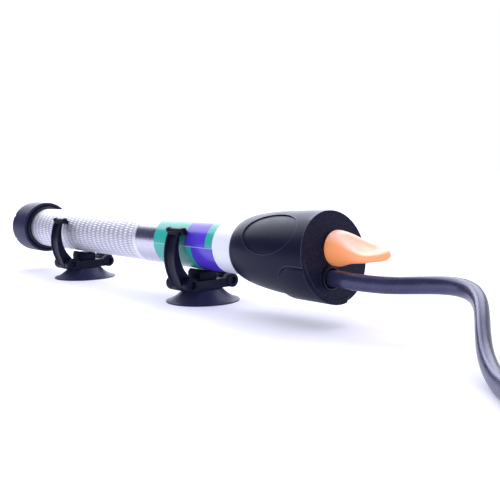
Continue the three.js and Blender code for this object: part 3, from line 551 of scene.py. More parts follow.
def finger_dent(turn):
    """The tool for one dent: an oval prism over a smaller barrel."""
    middle, half_length, half_width, sides = -21.3, 15, 8.7, 48
    ring = []
    for i in range(sides):
        a = i / sides * math.tau
        ring.append((middle + half_length * math.cos(a), half_width * math.sin(a)))
    tool = prism(ring, about_x(turn - 90))
    floor = turned("tool", [(0, -HEAD_LENGTH), *barrel(-DENT_DEPTH), (0, 4)], Matrix())
    return carve(tool, floor)


# %% [markdown]
# The clamp cover is a separate plate over the cord's clamp. Seen from outside
# it is a U that opens at the face. It stands 0.4 mm proud of the barrel and
# its edges are rounded, which is why it shows as a fine line of light. The
# pocket that it sits in is the same U, grown by the gap.

# %% The clamp cover and its pocket
COVER_RADIUS = HEAD_RADIUS + 0.4
COVER_FLOOR = COVER_RADIUS - 1.9
COVER_TURN, COVER_HALF_ANGLE = -98, 46
COVER_GAP = 0.3


def cover_outline(grow):
    """The U of the cover, seen along its own radius, in mm."""
    half = HEAD_RADIUS * math.sin(math.radians(COVER_HALF_ANGLE)) + grow
    rear = -15 - grow
    corner = 8.5 + grow
    x = rear + corner
    points = [(5, -half), (5, half)]
    for first, y in ((90, half - corner), (180, corner - half)):
        for degrees in range(first, first + 91, 9):
            a = math.radians(degrees)
            points.append((x + corner * math.cos(a), y + corner * math.sin(a)))
    return points


def cover_prism(grow):
    """The U made thick, towards the side where the cover sits."""
    return prism(cover_outline(grow), about_x(COVER_TURN - 90))


def beyond_face(lift=0):
    """Everything in front of the leaning face."""
    return box_tool((lift, -50, -50), (50, 50, 50), FACE_TILT)


# %% Carve the head and fit its cover
HEAD_BORE, SOCKET_FLOOR_X = 11.25, -24
shell_profile = [
    (0, SOCKET_FLOOR_X), (HEAD_BORE, SOCKET_FLOOR_X), (HEAD_BORE, -HEAD_LENGTH),
    (11.8, -HEAD_LENGTH), *barrel(), (0, 4),
]
head = turned("head_shell", shell_profile, Matrix(), sides=144)
pocket_floor = rod(COVER_FLOOR - COVER_GAP, -HEAD_LENGTH, 8)
pocket = carve(cover_prism(COVER_GAP), pocket_floor)
carve(head, beyond_face(), finger_dent(10), finger_dent(170), pocket)
carve(
    head,
    rod(6.9, -0.6, 8, KNOB_OFFSET, 96),  # seat of the knob
    rod(4.8, -5.6, 0, KNOB_OFFSET),  # seat of the spindle's seal
    rod(2.25, -30, 0, KNOB_OFFSET),  # hole of the spindle
    rod(3.9, -30, 8, GLAND_Z),  # hole of the gland
    rod(4.7, 0.62, 8, GLAND_Z),  # seat of the gland's lip
)
head.data.transform(HEAD)
soften(head, 0.22)
cover_top = rod(COVER_RADIUS, -17, 8, sides=144)
cover = carve(cover_prism(0), cover_top, operation="INTERSECT")
carve(cover, rod(COVER_FLOOR, -18, 9), beyond_face(0.3))
cover.name = "clamp_cover_plate"
cover.data.transform(HEAD)
soften(cover, 0.3, 3)
for piece, node in ((head, "head_housing"), (cover, "clamp_cover")):
    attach(piece, "heater")
    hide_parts(node)
print("head and cover faces:", len(head.data.polygons), len(cover.data.polygons))

# %% [markdown]
# ## Gland
#
# A soft ring round the cord seals its hole. It stands a millimetre out of the
# face, and the cord comes out of a dark hollow inside it.

# %% Turn the gland
GLAND_BORE, GLAND_RADIUS, LIP_RADIUS = 3.3, 3.8, 4.4
gland_profile = [
    (GLAND_BORE, -11.5), (GLAND_RADIUS, -11.5), (GLAND_RADIUS, 0.92),
    (LIP_RADIUS, 0.92), (LIP_RADIUS, 2.22), (3.75, 2.22),
    (GLAND_BORE, 1.1), (GLAND_BORE, -11.5),
]
GLAND = HEAD @ Matrix.Translation((0, 0, GLAND_Z * MM))
gland = turned("cord_gland_ring", rounded(gland_profile, 0.25), GLAND, sides=72)
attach(gland, "heater")
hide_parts("cord_gland")

# %% [markdown]
# ## Knob
#
# The knob starts as a round stub and flows into a flat blade, hollowed on
# both sides for finger and thumb. A lathe can't give that, and box modelling
# would need many hand-placed points. It is lofted instead: at each station
# along the axis a half width and a half thickness come from two side outlines
# drawn as Bezier curves, and the section between them is a soft oval that
# turns from a circle into a rounded bar, and that sinks a little towards the
# tip. The thumb dish is then pressed into the finished points, and a
# subdivision modifier smooths the whole.

# %% The knob's side outlines
KNOB_REACH, KNOB_STUB = 23.5, 6.6
KNOB_BASE = -0.3
KNOB_DISC = KNOB_BASE + 1.5


def side_outline(neck, end, end_length):
    """Half size at places along the knob, from its disc to its tip."""
    blade = KNOB_REACH - end_length
    bends = (KNOB_DISC + 4, neck), (KNOB_DISC + 8, end)
    flow = bezier(((KNOB_DISC, KNOB_STUB), *bends, (blade, end)), 40)
    close = []
    for i in range(1, 41):
        a = i * math.pi / 80
        close.append(Vector((blade + end_length * math.sin(a), end * math.cos(a))))
    return [Vector((KNOB_BASE, KNOB_STUB)), *flow, *close]


def half_at(outline, x):
    """The outline's half size at one place, between its nearest points."""
    for p, q in zip(outline, outline[1:]):
        if p.x <= x <= q.x and q.x > p.x:
            return p.y + (q.y - p.y) * (x - p.x) / (q.x - p.x)
    return outline[-1].y


plan = side_outline(5.75, 5.35, 14)
profile = side_outline(6.45, 1.55, 1.55)

# %% Loft the knob
TIP_START = 21
KNOB_TURN = 22
DISH_DEPTH, DISH_MIDDLE, DISH_LENGTH, DISH_WIDTH = 0.85, 12.6, 18.4, 8.8
stations = [KNOB_BASE, KNOB_BASE + 0.08, KNOB_BASE + 0.4, 0.7, KNOB_DISC]
stations += [KNOB_DISC + (TIP_START - KNOB_DISC) * i / 26 for i in range(1, 27)]
stations += [TIP_START + 2.46 * math.sin(i * math.pi / 20) for i in range(1, 11)]
knob_rings = []
for x in stations:
    shrink = 0.94 if x < KNOB_BASE + 0.05 else 1
    half_width, half_thickness = half_at(plan, x) * shrink, half_at(profile, x) * shrink
    flatness = ease((x - 2) / 8)
    sink = 1.2 * ease((x - 3.5) / 12.3)
    ring = []
    for y, z in oval(half_width, half_thickness, 40, 2 + 0.9 * flatness):
        along, across = 2 * (x - DISH_MIDDLE) / DISH_LENGTH, 2 * y / DISH_WIDTH
        inside = 1 - along**2 - across**2
        dish = min(DISH_DEPTH * ease(inside * 1.1), abs(z) * 0.5)
        ring.append(Vector((x, y, z - math.copysign(dish, z) - sink)) * MM)
    knob_rings.append(ring)
knob = skin("setting_knob", knob_rings)
knob_seat = HEAD @ Matrix.Translation((0, 0, KNOB_OFFSET * MM))
KNOB = knob_seat @ about_x(HEAD_TURN + KNOB_TURN)
knob.data.transform(KNOB)
smoother = knob.modifiers.new("smoother", "SUBSURF")
smoother.levels = smoother.render_levels = 1
shade(apply_modifiers(knob), 50)
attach(knob, "knob")
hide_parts("adjusting_knob")
print("knob faces:", len(knob.data.polygons))

# %% [markdown]
# ## Suction cups
#
# Each cup is soft rubber: a thin flared skirt with a hollow under it, and a
# neck with a button that snaps into the bracket's base. The skirt's line is
# drawn with Bezier curves, then turned. Both cups are the same, so one
# function makes them, at the place where the frame has each.

# %% Turn the cups
def suction_cup(place_name):
    """One cup, built about its own axis and put over its node."""
    low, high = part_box(f"{place_name}_suction_cup")
    middle = (low + high) / 2
    flare = bezier(((16.15, 0.55), (13.2, 1.1), (10.4, 3.4), (8.6, 5.5)), 14)
    hollow = bezier(((0, 3.5), (7, 3.5), (10.5, 2.6), (14.9, 0)), 14)
    neck, button = 1.9, 2.9
    outline = [
        *hollow, (16.2, 0), (16.3, 0.28), *flare, (neck, 5.5),
        (neck, 8.15), (button, 8.15), (button, 9.15), (1.45, 10.9), (0, 10.9),
    ]
    place = Matrix.Translation((middle.x, middle.y, 0))
    cup = turned(f"{place_name}_cup_rubber", outline, place, axis="Z", sides=96)
    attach(cup, f"{place_name}_cup")
    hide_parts(f"{place_name}_suction_cup")
    return cup


cups = [suction_cup("front"), suction_cup("rear")]
print("cup faces:", len(cups[0].data.polygons))

# %% [markdown]
# ## Writing node trees as sums
#
# What follows is mostly node trees: a small one that smooths the shading of
# pieces, and one for each finish, so that it works on any piece without an
# image. Placing and linking maths nodes by hand hides the idea behind the
# wiring. The class here wraps a socket, and its operators add the Math nodes,
# so a mask can be written as `1 - ring * dot`. All other nodes come from one
# method, which sets a node up first and then fills its sockets.

# %% Sockets that can be summed
class Signal:
    """An output socket that can be used in sums."""

    def __init__(self, nodes, socket):
        self.nodes, self.socket = nodes, socket

    def maths(self, operation, *values):
        settings = {"operation": operation}
        return self.nodes.add("ShaderNodeMath", settings, dict(enumerate(values)))

    def output(self, name):
        return Signal(self.nodes, self.socket.node.outputs[name])

    def __add__(self, other):
        return self.maths("ADD", self, other)

    __radd__ = __add__

    def __sub__(self, other):
        return self.maths("SUBTRACT", self, other)

    def __rsub__(self, other):
        return self.maths("SUBTRACT", other, self)

    def __mul__(self, other):
        return self.maths("MULTIPLY", self, other)

    __rmul__ = __mul__

    def __truediv__(self, other):
        return self.maths("DIVIDE", self, other)

    def __gt__(self, other):
        return self.maths("GREATER_THAN", self, other)

    def __lt__(self, other):
        return self.maths("LESS_THAN", self, other)

    def clipped(self):
        return self.nodes.add("ShaderNodeClamp", {}, {"Value": self})

    def fraction(self):
        return self.maths("FRACT", self)

    def whole(self):
        return self.maths("FLOOR", self)

    def size(self):
        return self.maths("ABSOLUTE", self)


# %% Trees that are filled from code
class Nodes:
    """A node tree that is filled from code."""

    def __init__(self, tree):
        self.tree = tree
        tree.nodes.clear()

    def add(self, kind, settings={}, sockets={}, output=0):
        """A node with its settings, then its sockets; gives one output."""
        node = self.tree.nodes.new(kind)
        for name, value in settings.items():
            setattr(node, name, value)
        for name, value in sockets.items():
            self.feed(self.find(node.inputs, name), value)
        if not node.outputs:
            return None
        return Signal(self, self.find(node.outputs, output))

    def find(self, sockets, name):
        if isinstance(name, int):
            return sockets[name]
        return next(s for s in sockets if name in (s.identifier, s.name))

    def feed(self, socket, value):
        if isinstance(value, Signal):
            self.tree.links.new(value.socket, socket)
        elif socket.type == "RGBA" and len(value) == 3:
            socket.default_value = (*value, 1)
        else:
            socket.default_value = value

    def mix(self, factor, first, second):
        """A colour between two colours."""
        values = {"Factor_Float": factor, "A_Color": first, "B_Color": second}
        return self.add("ShaderNodeMix", {"data_type": "RGBA"}, values, "Result_Color")

    def place(self):
        """Where a point is on its piece, in metres."""
        return self.add("ShaderNodeTexCoord", output="Object")

    def split(self, vector):
        """The X, Y and Z of a vector."""
        parts = self.add("ShaderNodeSeparateXYZ", {}, {"Vector": vector})
        return parts, parts.output("Y"), parts.output("Z")

    def stretch(self, vector, factors):
        """A vector times another, so that a texture can be drawn out."""
        settings = {"operation": "MULTIPLY"}
        return self.add("ShaderNodeVectorMath", settings, {0: vector, 1: factors})

    def noise(self, vector, scale, detail):
        values = {"Vector": vector, "Scale": scale, "Detail": detail}
        return self.add("ShaderNodeTexNoise", {}, values)

    def bump(self, height):
        """A normal from a height in mm."""
        values = {"Height": height, "Distance": MM, "Strength": 1.0}
        return self.add("ShaderNodeBump", {}, values)

    def smooth_step(self, value, low, high):
        """A soft step from 0 at low to 1 at high."""
        settings = {"interpolation_type": "SMOOTHSTEP"}
        values = {"Value": value, "From Min": low, "From Max": high}
        return self.add("ShaderNodeMapRange", settings, values)

    def surface(self, **sockets):
        """The Principled shader and the material's output."""
        named = {key.replace("_", " "): value for key, value in sockets.items()}
        shader = self.add("ShaderNodeBsdfPrincipled", {}, named)
        self.add("ShaderNodeOutputMaterial", {}, {"Surface": shader})


# %% Materials
def finish(name):
    """A new material and its empty node tree."""
    material = bpy.data.materials.new(name)
    material.use_nodes = True
    return material, Nodes(material.node_tree)


def paint(material, *pieces):
    """Gives the pieces one material and no other."""
    for piece in pieces:
        piece.data.materials.clear()
        piece.data.materials.append(material)


# %% [markdown]
# ## Pieces carried over from the model
#
# The bracket bases, the claws, their pins, the plug and everything inside the
# tube already have the right shape in the model, so they stay. Their meshes
# aren't touched: modifiers weld the corners, round the edges of the visible
# ones, and set smooth shading with sharp edges kept. The shading is a small
# node group, because the operator for it would change the mesh itself.

# %% Modifiers for the carried pieces
def smooth_group(angle=34):
    """A geometry node group that shades smooth below an angle."""
    group = bpy.data.node_groups.new("smooth_faces", "GeometryNodeTree")
    socket = "NodeSocketGeometry"
    for way in ("INPUT", "OUTPUT"):
        group.interface.new_socket("Geometry", in_out=way, socket_type=socket)
    n = Nodes(group)
    values = {"Geometry": n.add("NodeGroupInput"), "Name": "custom_normal"}
    bare = n.add("GeometryNodeRemoveAttribute", {}, values)
    faces = n.add("GeometryNodeSetShadeSmooth", {}, {"Geometry": bare})
    fold = n.add("GeometryNodeInputMeshEdgeAngle", output="Unsigned Angle")
    values = {"A": fold, "B": math.radians(angle)}
    sharp = n.add("FunctionNodeCompare", {"operation": "GREATER_THAN"}, values)
    values = {"Geometry": faces, "Selection": sharp, "Shade Smooth": False}
    edges = n.add("GeometryNodeSetShadeSmooth", {"domain": "EDGE"}, values)
    n.add("NodeGroupOutput", {}, {"Geometry": edges})
    return group


SMOOTH = smooth_group()
BEVELLED = {
    f"{place}_{piece}": width
    for place in ("front", "rear")
    for piece, width in (
        ("bracket_base", 0.3), ("near_claw", 0.22), ("far_claw", 0.22),
        ("near_hinge_pin", 0.15), ("far_hinge_pin", 0.15),
    )
}
BEVELLED["plug_body"] = 0.3


def carry_over(node, width):
    """Welds, rounds and smooths a node of the model, its mesh untouched."""
    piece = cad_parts[node]
    weld = piece.modifiers.new("weld", "WELD")
    weld.merge_threshold = 0.002 * MM
    if width:
        add_bevel(piece, width, angle=38)
    piece.modifiers.new("smooth", "NODES").node_group = SMOOTH


carried = [name for name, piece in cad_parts.items() if not piece.hide_render]
for name in carried:
    carry_over(name, BEVELLED.get(name, 0))
print(len(carried), "pieces carried over,", len(BEVELLED), "with rounded edges")

# %% [markdown]
# ## Black plastics
#
# The head, the cap and the clips are black moulded plastic, and what tells
# them apart is their surface. All have a faint cloudiness in the gloss from
# the mould and a fine grain. Their edges, in grooves as well as on ridges, are
# painted a little greyer: partly wear from handling, partly a painted
# highlight where a rounded edge would catch the light. The head's end face has
# a coarser, sparkling texture, and its glints are painted in as pale specks.
# Dark gloss is mostly reflection, so roughness and bump matter more here than
# colour. The edge mask comes from a Bevel node, which gives the normal that a
# rounded edge would have: where it differs from the surface's own normal,
# there is an edge.

# %% Moulded black plastic
COOL_TINT = (0.66, 0.7, 1, 1)
WEAR_AND_HIGHLIGHT_RADIUS = 0.4 * MM
FACE_PLANE = 112.55 * MM, 112.62 * MM


def moulded(name, base, edge, roughness, grain_scale, grain_depth, face=False):
    """Black plastic with grain, cloudy gloss, and edges painted greyer as wear and painted
    highlight.
    """
    material, n = finish(name)
    place = n.place()
    cloud = n.noise(place, 90, 3)
    grain = n.noise(place, grain_scale, 2)
    eased = n.add("ShaderNodeBevel", {"samples": 4}, {"Radius": WEAR_AND_HIGHLIGHT_RADIUS})
    own = n.add("ShaderNodeNewGeometry", output="Normal")
    settings = {"operation": "DOT_PRODUCT"}
    agree = n.add("ShaderNodeVectorMath", settings, {0: eased, 1: own}, "Value")
    # Edges, hollow and raised, are painted greyer: partly wear, partly a painted
    # highlight.
    wear_and_painted_glints = n.smooth_step(1 - agree, 0.02, 0.3) * (0.3 + 0.6 * n.noise(place, 700, 3))
    gloss = roughness + 0.14 * (cloud - 0.5) + 0.1 * (grain - 0.5)
    height = grain * grain_depth
    if face:
        x, _, z = n.split(place)
        lean = math.radians(FACE_LEAN)
        forward = x * math.cos(lean) + (z - AXIS_Z) * math.sin(lean)
        front = n.smooth_step(forward, *FACE_PLANE)
        sparkle = n.noise(place, 2600, 1)
        height = height + front * sparkle * (3 * grain_depth)
        gloss = gloss + front * 0.08
        # Pale specks on the end face are painted glints, added to the edge mask.
        wear_and_painted_glints = wear_and_painted_glints + front * n.smooth_step(sparkle, 0.62, 0.8) * 0.5
    clouded = n.mix(cloud, base, [1.35 * c for c in base])
    n.surface(
        Base_Color=n.mix(wear_and_painted_glints.clipped(), clouded, edge),
        Roughness=gloss.clipped(),
        Normal=n.bump(height),
        Specular_IOR_Level=0.14,
        Specular_Tint=COOL_TINT,
    )
    return material


WEAR_AND_HIGHLIGHT_GREY, DULL_WEAR_AND_HIGHLIGHT_GREY = (0.16, 0.165, 0.27), (0.09, 0.095, 0.16)
head_black, cap_black = (0.006, 0.0066, 0.02), (0.022, 0.024, 0.056)
clip_black = (0.004, 0.0045, 0.015)
head_plastic = moulded("head_black", head_black, WEAR_AND_HIGHLIGHT_GREY, 0.38, 2200, 0.012, True)
cap_plastic = moulded("cap_black", cap_black, WEAR_AND_HIGHLIGHT_GREY, 0.42, 2200, 0.014)
clip_plastic = moulded("clip_black", clip_black, DULL_WEAR_AND_HIGHLIGHT_GREY, 0.42, 1800, 0.01)
clips = [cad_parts[name] for name in BEVELLED if name != "plug_body"]
paint(head_plastic, head, cover)
paint(cap_plastic, end_cap)
paint(clip_plastic, *clips)
print("black plastics:", head_plastic.name, cap_plastic.name, clip_plastic.name)

# %% [markdown]
# ## Rubber and the cord's sheath
#
# Soft rubber is rougher than the plastic and slightly dusty: the dust lies in
# patches, broken up by specks. The flex is smoother and shinier than the cups
# and seals, so it gets a lower roughness with less spread.

# %% Rubber finishes
def rubber(name, base, dust, roughness, gloss_spread=0.16, specular=0.35):
    """Dull black rubber with dust and a fine uneven skin."""
    material, n = finish(name)
    place = n.place()
    patches = n.noise(place, 120, 4)
    specks = n.noise(place, 1500, 2)
    dusty = n.smooth_step(patches * 0.7 + specks * 0.3, 0.45, 0.75)
    n.surface(
        Base_Color=n.mix(dusty * 0.6, base, dust),
        Roughness=(roughness + gloss_spread * (patches - 0.5)).clipped(),
        Normal=n.bump(specks * 0.012 + patches * 0.02),
        Specular_IOR_Level=specular,
        Specular_Tint=COOL_TINT,
    )
    return material


cup_rubber = rubber("cup_rubber", (0.026, 0.028, 0.07), (0.05, 0.052, 0.11), 0.5)
seal_rubber = rubber("seal_rubber", (0.008, 0.008, 0.018), (0.022, 0.022, 0.04), 0.45)
flex_rubber = rubber(
    "flex_sheath", (0.03, 0.03, 0.072), (0.07, 0.07, 0.14), 0.27, 0.08, 0.9
)
paint(cup_rubber, *cups)
seals = [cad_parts[name] for name in ("tube_seal", "spindle_seal")]
paint(seal_rubber, collar, gland, *seals)
paint(flex_rubber, cord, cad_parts["plug_body"])

# %% [markdown]
# ## Rolled and brushed steel
#
# The plain part of the sheath is brushed round the tube, and the heated zone
# carries rings of small raised dots, with each ring half a dot round from the
# last. The dots are cells: the place along the tube and the place round it
# are both cut into repeats, and the distance to the middle of each cell
# shapes one dot. Each dot is also painted paler than the steel round it, as a
# painted highlight on its top. Where metal is embossed it scatters light, so
# the zone is painted paler and made rougher than the plain steel. A smooth
# raised ring ends it.

# %% Embossed steel
DOT_PITCH = 4.4 * MM
DOTS_ROUND = 56
DOT_HEIGHT = 0.15


def around(n, y, z):
    """The turn round the tube, 0 at the near side and growing over the top."""
    reach = {0: z - AXIS_Z, 1: y * -1}
    angle = n.add("ShaderNodeMath", {"operation": "ARCTAN2"}, reach)
    return angle * (1 / math.tau)


def sheath_steel():
    material, n = finish("sheath_steel")
    place = n.place()
    x, y, z = n.split(place)
    turn = around(n, y, z)
    row = (x - EMBOSSED_END_X * MM) / DOT_PITCH
    column = turn * DOTS_ROUND + row.whole() * 0.5
    along = (row.fraction() - 0.5) * 2.3
    across = (column.fraction() - 0.5) * 2.5
    dot = 1 - n.smooth_step(along * along + across * across, 0.0, 1.1)
    rolled = dot * (x < EMBOSSED_END_X * MM)
    zone = 1 - n.smooth_step(x, (BAND_END_X - 0.2) * MM, BAND_END_X * MM)
    brushing = n.noise(n.stretch(place, (14, 0.6, 0.6)), 420, 4)
    stain = n.noise(place, 55, 4)
    plain = n.mix(brushing, (0.5, 0.5, 0.57), (0.6, 0.6, 0.67))
    # Dots are painted near white: a painted highlight on each dot's top.
    pale_zone_and_dot_highlights = n.mix(rolled, (0.62, 0.62, 0.7), (1.0, 1.0, 1.0))
    ring = x > (EMBOSSED_END_X + 0.3) * MM
    pale_zone_and_dot_highlights = n.mix(ring, pale_zone_and_dot_highlights, (0.9, 0.9, 0.95))
    gloss = 0.28 + zone * 0.34 + 0.08 * (brushing - 0.5) + 0.08 * (stain - 0.5)
    n.surface(
        Base_Color=n.mix(zone, plain, pale_zone_and_dot_highlights),
        Metallic=1.0,
        Roughness=gloss.clipped(),
        Normal=n.bump(rolled * DOT_HEIGHT + brushing * 0.002),
    )
    return material


paint(sheath_steel(), tube)

# %% [markdown]
# ## The film's print
#
# The film is printed in bands of teal, violet and white. At the seam its two
# ends don't match, so the bands must shift as they go round: here they drift
# along the tube over the hidden far side, and the step shows only at the
# seam. A band is a pair of soft steps along the tube, and the drift is added
# to their places. A clear coat gives the film its sharp gloss.

# %% Printed bands
def printed_film():
    material, n = finish("printed_film")
    place = n.place()
    x, y, z = n.split(place)
    turn = around(n, y, z)
    drift = n.smooth_step(turn.fraction(), 0.38, 0.78)
    edge = 0.12 * MM

    def beyond(first, last):
        """A mask beyond an edge that drifts from one place to another."""
        at = (first + (last - first) * drift) * MM
        return n.smooth_step(x - at, -edge, edge)

    teal, violet = (0.012, 0.45, 0.35), (0.075, 0.028, 0.6)
    white, seam_white = (0.88, 0.91, 0.98), (0.75, 0.8, 0.95)
    color = n.mix(beyond(37.2, 41.85), teal, violet)
    color = n.mix(beyond(51.7, 56.9), color, teal)
    color = n.mix(beyond(56.6, 56.95), color, white)
    seam = 1 - n.smooth_step((turn + 0.0035).size(), 0.0012, 0.003)
    color = n.mix(seam * 0.45, color, seam_white)
    wrinkle = n.noise(n.stretch(place, (0.5, 1, 1)), 75, 2)
    print_grain = n.noise(place, 1800, 2)
    n.surface(
        Base_Color=n.mix(print_grain * 0.05, color, (0.8, 0.84, 0.95)),
        Roughness=(0.2 + 0.1 * print_grain).clipped(),
        Coat_Weight=0.2 + 0.2 * wrinkle,
        Coat_Roughness=0.06,
        Normal=n.bump(wrinkle * 0.05 + print_grain * 0.002),
        Specular_IOR_Level=0.35,
    )
    return material


paint(printed_film(), film)

# %% [markdown]
# ## Orange knob
#
# The knob is glossy orange plastic that lets a little light in, so its thin
# blade is painted paler than its neck. The side that looks up is painted a
# pale peach: a painted highlight from the light above the tank. A painted
# glow of its own stands in for the light that the blade passes on. The mould
# left soft flow lines along it, and use has left fine scratches that show
# only in the gloss.

# %% Glossy orange plastic
def orange_plastic():
    material, n = finish("knob_orange")
    place = n.place()
    x, _, _ = n.split(place)
    flow = n.noise(n.stretch(place, (0.35, 1, 1)), 260, 3)
    scratches = n.noise(n.stretch(place, (1, 0.08, 1)), 2400, 2)
    # The blade is painted paler than the neck, for light that it lets through.
    thin = n.smooth_step(x, 118 * MM, 134 * MM)
    _, _, upward = n.split(n.add("ShaderNodeTexCoord", output="Normal"))
    orange, thin_orange, flow_orange = (1, 0.35, 0.12), (1, 0.4, 0.17), (1, 0.45, 0.24)
    painted_highlight_peach = (1, 0.64, 0.58)
    # The side that faces up is mixed towards peach: a painted highlight.
    painted_top_highlight = n.smooth_step(upward, 0.25, 0.9) * (0.75 - 0.5 * thin)
    color = n.mix(painted_top_highlight, n.mix(thin, orange, thin_orange), painted_highlight_peach)
    color = n.mix(flow * 0.3, color, flow_orange)
    n.surface(
        Base_Color=color,
        Roughness=(0.36 + 0.12 * (flow - 0.5) + 0.06 * scratches).clipped(),
        Normal=n.bump(flow * 0.03 + scratches * 0.002),
        Subsurface_Weight=0.25,
        Subsurface_Radius=(0.004, 0.0015, 0.0006),
        Subsurface_Scale=1.0,
        Coat_Weight=0.2,
        Coat_Roughness=0.2,
        Specular_IOR_Level=0.4,
        # The emission is a painted glow in the knob's own colour, which brightens it.
        Emission_Color=color,
        Emission_Strength=0.3,
    )
    return material


paint(orange_plastic(), knob)

# %% [markdown]
# ## Pieces inside the tube
#
# The heating element and the thermostat are closed in, but the part can be
# opened up by whoever uses it, so each still gets its own finish. A recipe is
# the pieces, two colours, the scale of the clouding and a roughness. Metals
# add how metallic they are, and drawn or layered pieces a depth of grain and
# a stretch along the way they were made.

# %% Finishes for the inner pieces
def mottled(
    name, first, second, scale, roughness, metallic=0.0, grain=0.02, stretch=(1, 1, 1)
):
    """A plain technical material that varies between two colours."""
    material, n = finish(name)
    place = n.stretch(n.place(), stretch)
    patches = n.noise(place, scale, 4)
    fine = n.noise(place, 8 * scale, 2)
    gloss = roughness + 0.2 * (patches - 0.5) + 0.1 * (fine - 0.5)
    n.surface(
        Base_Color=n.mix(n.smooth_step(patches, 0.3, 0.7), first, second),
        Roughness=gloss.clipped(),
        Metallic=metallic,
        Normal=n.bump(fine * grain + patches * grain),
    )
    return material


# %% Paint the inner pieces
DRAWN = (1.0, 0.01, (0.2, 1, 1))
INNER = {
    "ceramic": (
        "ceramic_core core_disc_rear core_disc_front terminal_block",
        (0.78, 0.74, 0.64), (0.86, 0.83, 0.76), 300, 0.75,
    ),
    "resistance_wire": (
        "heating_coil", (0.22, 0.2, 0.19), (0.34, 0.29, 0.25), 500, 0.4, 1.0,
    ),
    "mica": (
        "mica_sleeve",
        (0.5, 0.42, 0.26), (0.66, 0.58, 0.4), 160, 0.35, 0.0, 0.03, (0.3, 1, 1),
    ),
    "laminate": (
        "thermostat_board",
        (0.36, 0.22, 0.08), (0.46, 0.3, 0.12), 400, 0.5, 0.0, 0.02, (1, 0.2, 1),
    ),
    "brass": (
        "blade_anchor leaf_anchor contact_leaf",
        (0.62, 0.42, 0.16), (0.76, 0.55, 0.25), 220, 0.32, 1.0,
    ),
    "spring_steel": (
        "bimetal_blade", (0.42, 0.38, 0.33), (0.55, 0.5, 0.44), 240, 0.34, *DRAWN,
    ),
    "silver": (
        "lower_contact upper_contact thermal_fuse plug_pin_left plug_pin_right",
        (0.78, 0.78, 0.8), (0.9, 0.9, 0.92), 260, 0.25, 1.0,
    ),
    "magnet_iron": ("snap_magnet", (0.08, 0.08, 0.09), (0.15, 0.14, 0.15), 300, 0.5, 0.8),
    "capacitor_film": ("capacitor", (0.03, 0.12, 0.38), (0.05, 0.17, 0.5), 200, 0.3),
    "brown_lead": (
        "live_lead live_core", (0.13, 0.05, 0.02), (0.2, 0.08, 0.035), 260, 0.45,
    ),
    "blue_lead": (
        "neutral_lead neutral_core", (0.02, 0.09, 0.36), (0.04, 0.14, 0.46), 260, 0.45,
    ),
    "spindle_steel": (
        "adjusting_spindle", (0.45, 0.45, 0.48), (0.62, 0.62, 0.65), 350, 0.28, *DRAWN,
    ),
}
for name, (pieces, *recipe) in INNER.items():
    material = mottled(name, *recipe)
    paint(material, *(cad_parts[piece] for piece in pieces.split()))
print("inner finishes:", len(INNER))

# %% [markdown]
# ## Floor, world and lamps
#
# The heater lies on a white sweep with hardly any horizon. The world is white
# for the camera and for gloss, and a softer cool white for everything else,
# so nothing is lit by more than plain light. For gloss it has one dim zone,
# low in front, as a real studio has behind the camera: without it, a steel
# tube in an all-white room would have no shape. Two softboxes, behind and at
# the left, shape the piece, and a third one shows in gloss alone, where it
# draws the rim of the black parts. The floor adds a little of its own light
# where the camera sees it, which turns it white but keeps the shadow.

# %% Studio
scene.view_settings.view_transform = "Standard"


def surroundings(n):
    """Where surroundings are seen as such, and where only in gloss."""
    ray = n.add("ShaderNodeLightPath", output="Is Camera Ray")
    glossy = ray.output("Is Glossy Ray")
    return (ray + glossy + ray.output("Is Transmission Ray")).clipped(), glossy


def studio_world():
    world = bpy.data.worlds.new("studio")
    world.use_nodes = True
    n = Nodes(world.node_tree)
    scene.world = world
    seen, glossy = surroundings(n)
    way = n.add("ShaderNodeTexCoord", output="Generated")
    _, y, z = n.split(way)
    low = 1 - n.smooth_step(z, 0.68, 0.97)
    front = 1 - n.smooth_step(y, -0.3, 0.5)
    white = n.mix(low * front * glossy, (1, 1, 1), (0.05, 0.05, 0.12))
    color = n.mix(seen, (0.8, 0.81, 0.96), white)
    light = n.add("ShaderNodeBackground", {}, {"Color": color, "Strength": 1.0})
    n.add("ShaderNodeOutputWorld", {}, {"Surface": light})


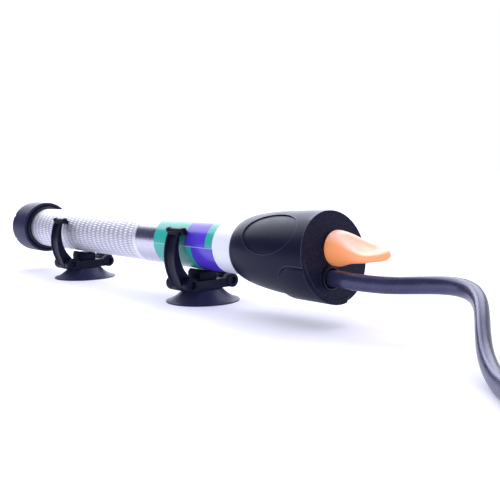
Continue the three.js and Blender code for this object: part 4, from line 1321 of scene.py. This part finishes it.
def area_lamp(name, place, target, size, power, color, gloss_only=False):
    """A softbox that looks at a target."""
    data = bpy.data.lights.new(name, "AREA")
    data.shape = "DISK"
    data.size = size
    data.energy = power
    data.color = color
    lamp = bpy.data.objects.new(name, data)
    scene.collection.objects.link(lamp)
    lamp.location = place
    aim = Vector(target) - Vector(place)
    lamp.rotation_euler = aim.to_track_quat("-Z", "Y").to_euler()
    lamp.visible_diffuse = not gloss_only


studio_world()
area_lamp("back_softbox", (-0.2, 0.62, 0.85), (0.05, 0, 0), 0.8, 5.5, (0.97, 0.97, 1))
area_lamp("left_softbox", (-0.7, 0, 0.66), (0.06, 0, 0.02), 0.8, 4.5, (0.95, 0.95, 1))
area_lamp(
    "rim_softbox", (-0.95, 0.6, 0.5), (0.08, 0, 0.03), 1, 8, (0.82, 0.85, 1),
    gloss_only=True,
)

# %% Floor
REACH = 4
signs = (-1, -1), (1, -1), (1, 1), (-1, 1)
corners = [(REACH * x, REACH * y, 0) for x, y in signs]
floor_mesh = bpy.data.meshes.new("floor")
floor_mesh.from_pydata(corners, [], [(0, 1, 2, 3)])
floor = new_piece("floor", floor_mesh)
floor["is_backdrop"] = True
floor_paper, n = finish("floor_paper")
place = n.place()
paper = n.noise(place, 60, 3)
seen, _ = surroundings(n)
x, y, _ = n.split(place)
far = n.smooth_step(x * x + y * y, 0.15, 1.5)
glow = n.mix(far, (0.2, 0.2, 0.2), (0.4, 0.4, 0.4))
n.surface(
    Base_Color=n.mix(paper * 0.15, (0.84, 0.84, 0.93), (0.88, 0.88, 0.96)),
    Roughness=0.9,
    Specular_IOR_Level=0.0,
    Emission_Color=n.mix(seen, (0, 0, 0), glow),
    Emission_Strength=1.0,
)
paint(floor_paper, floor)

# %% [markdown]
# ## Sizes
#
# The looks mustn't change the object's size. The box of what is shown now is
# set against the box from straight after the load, and the growth is printed.

# %% Print the growth in size
low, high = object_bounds()
growth = (high - low) - (cad_high - cad_low)
print("growth in mm:", [round(g / MM, 2) for g in growth])
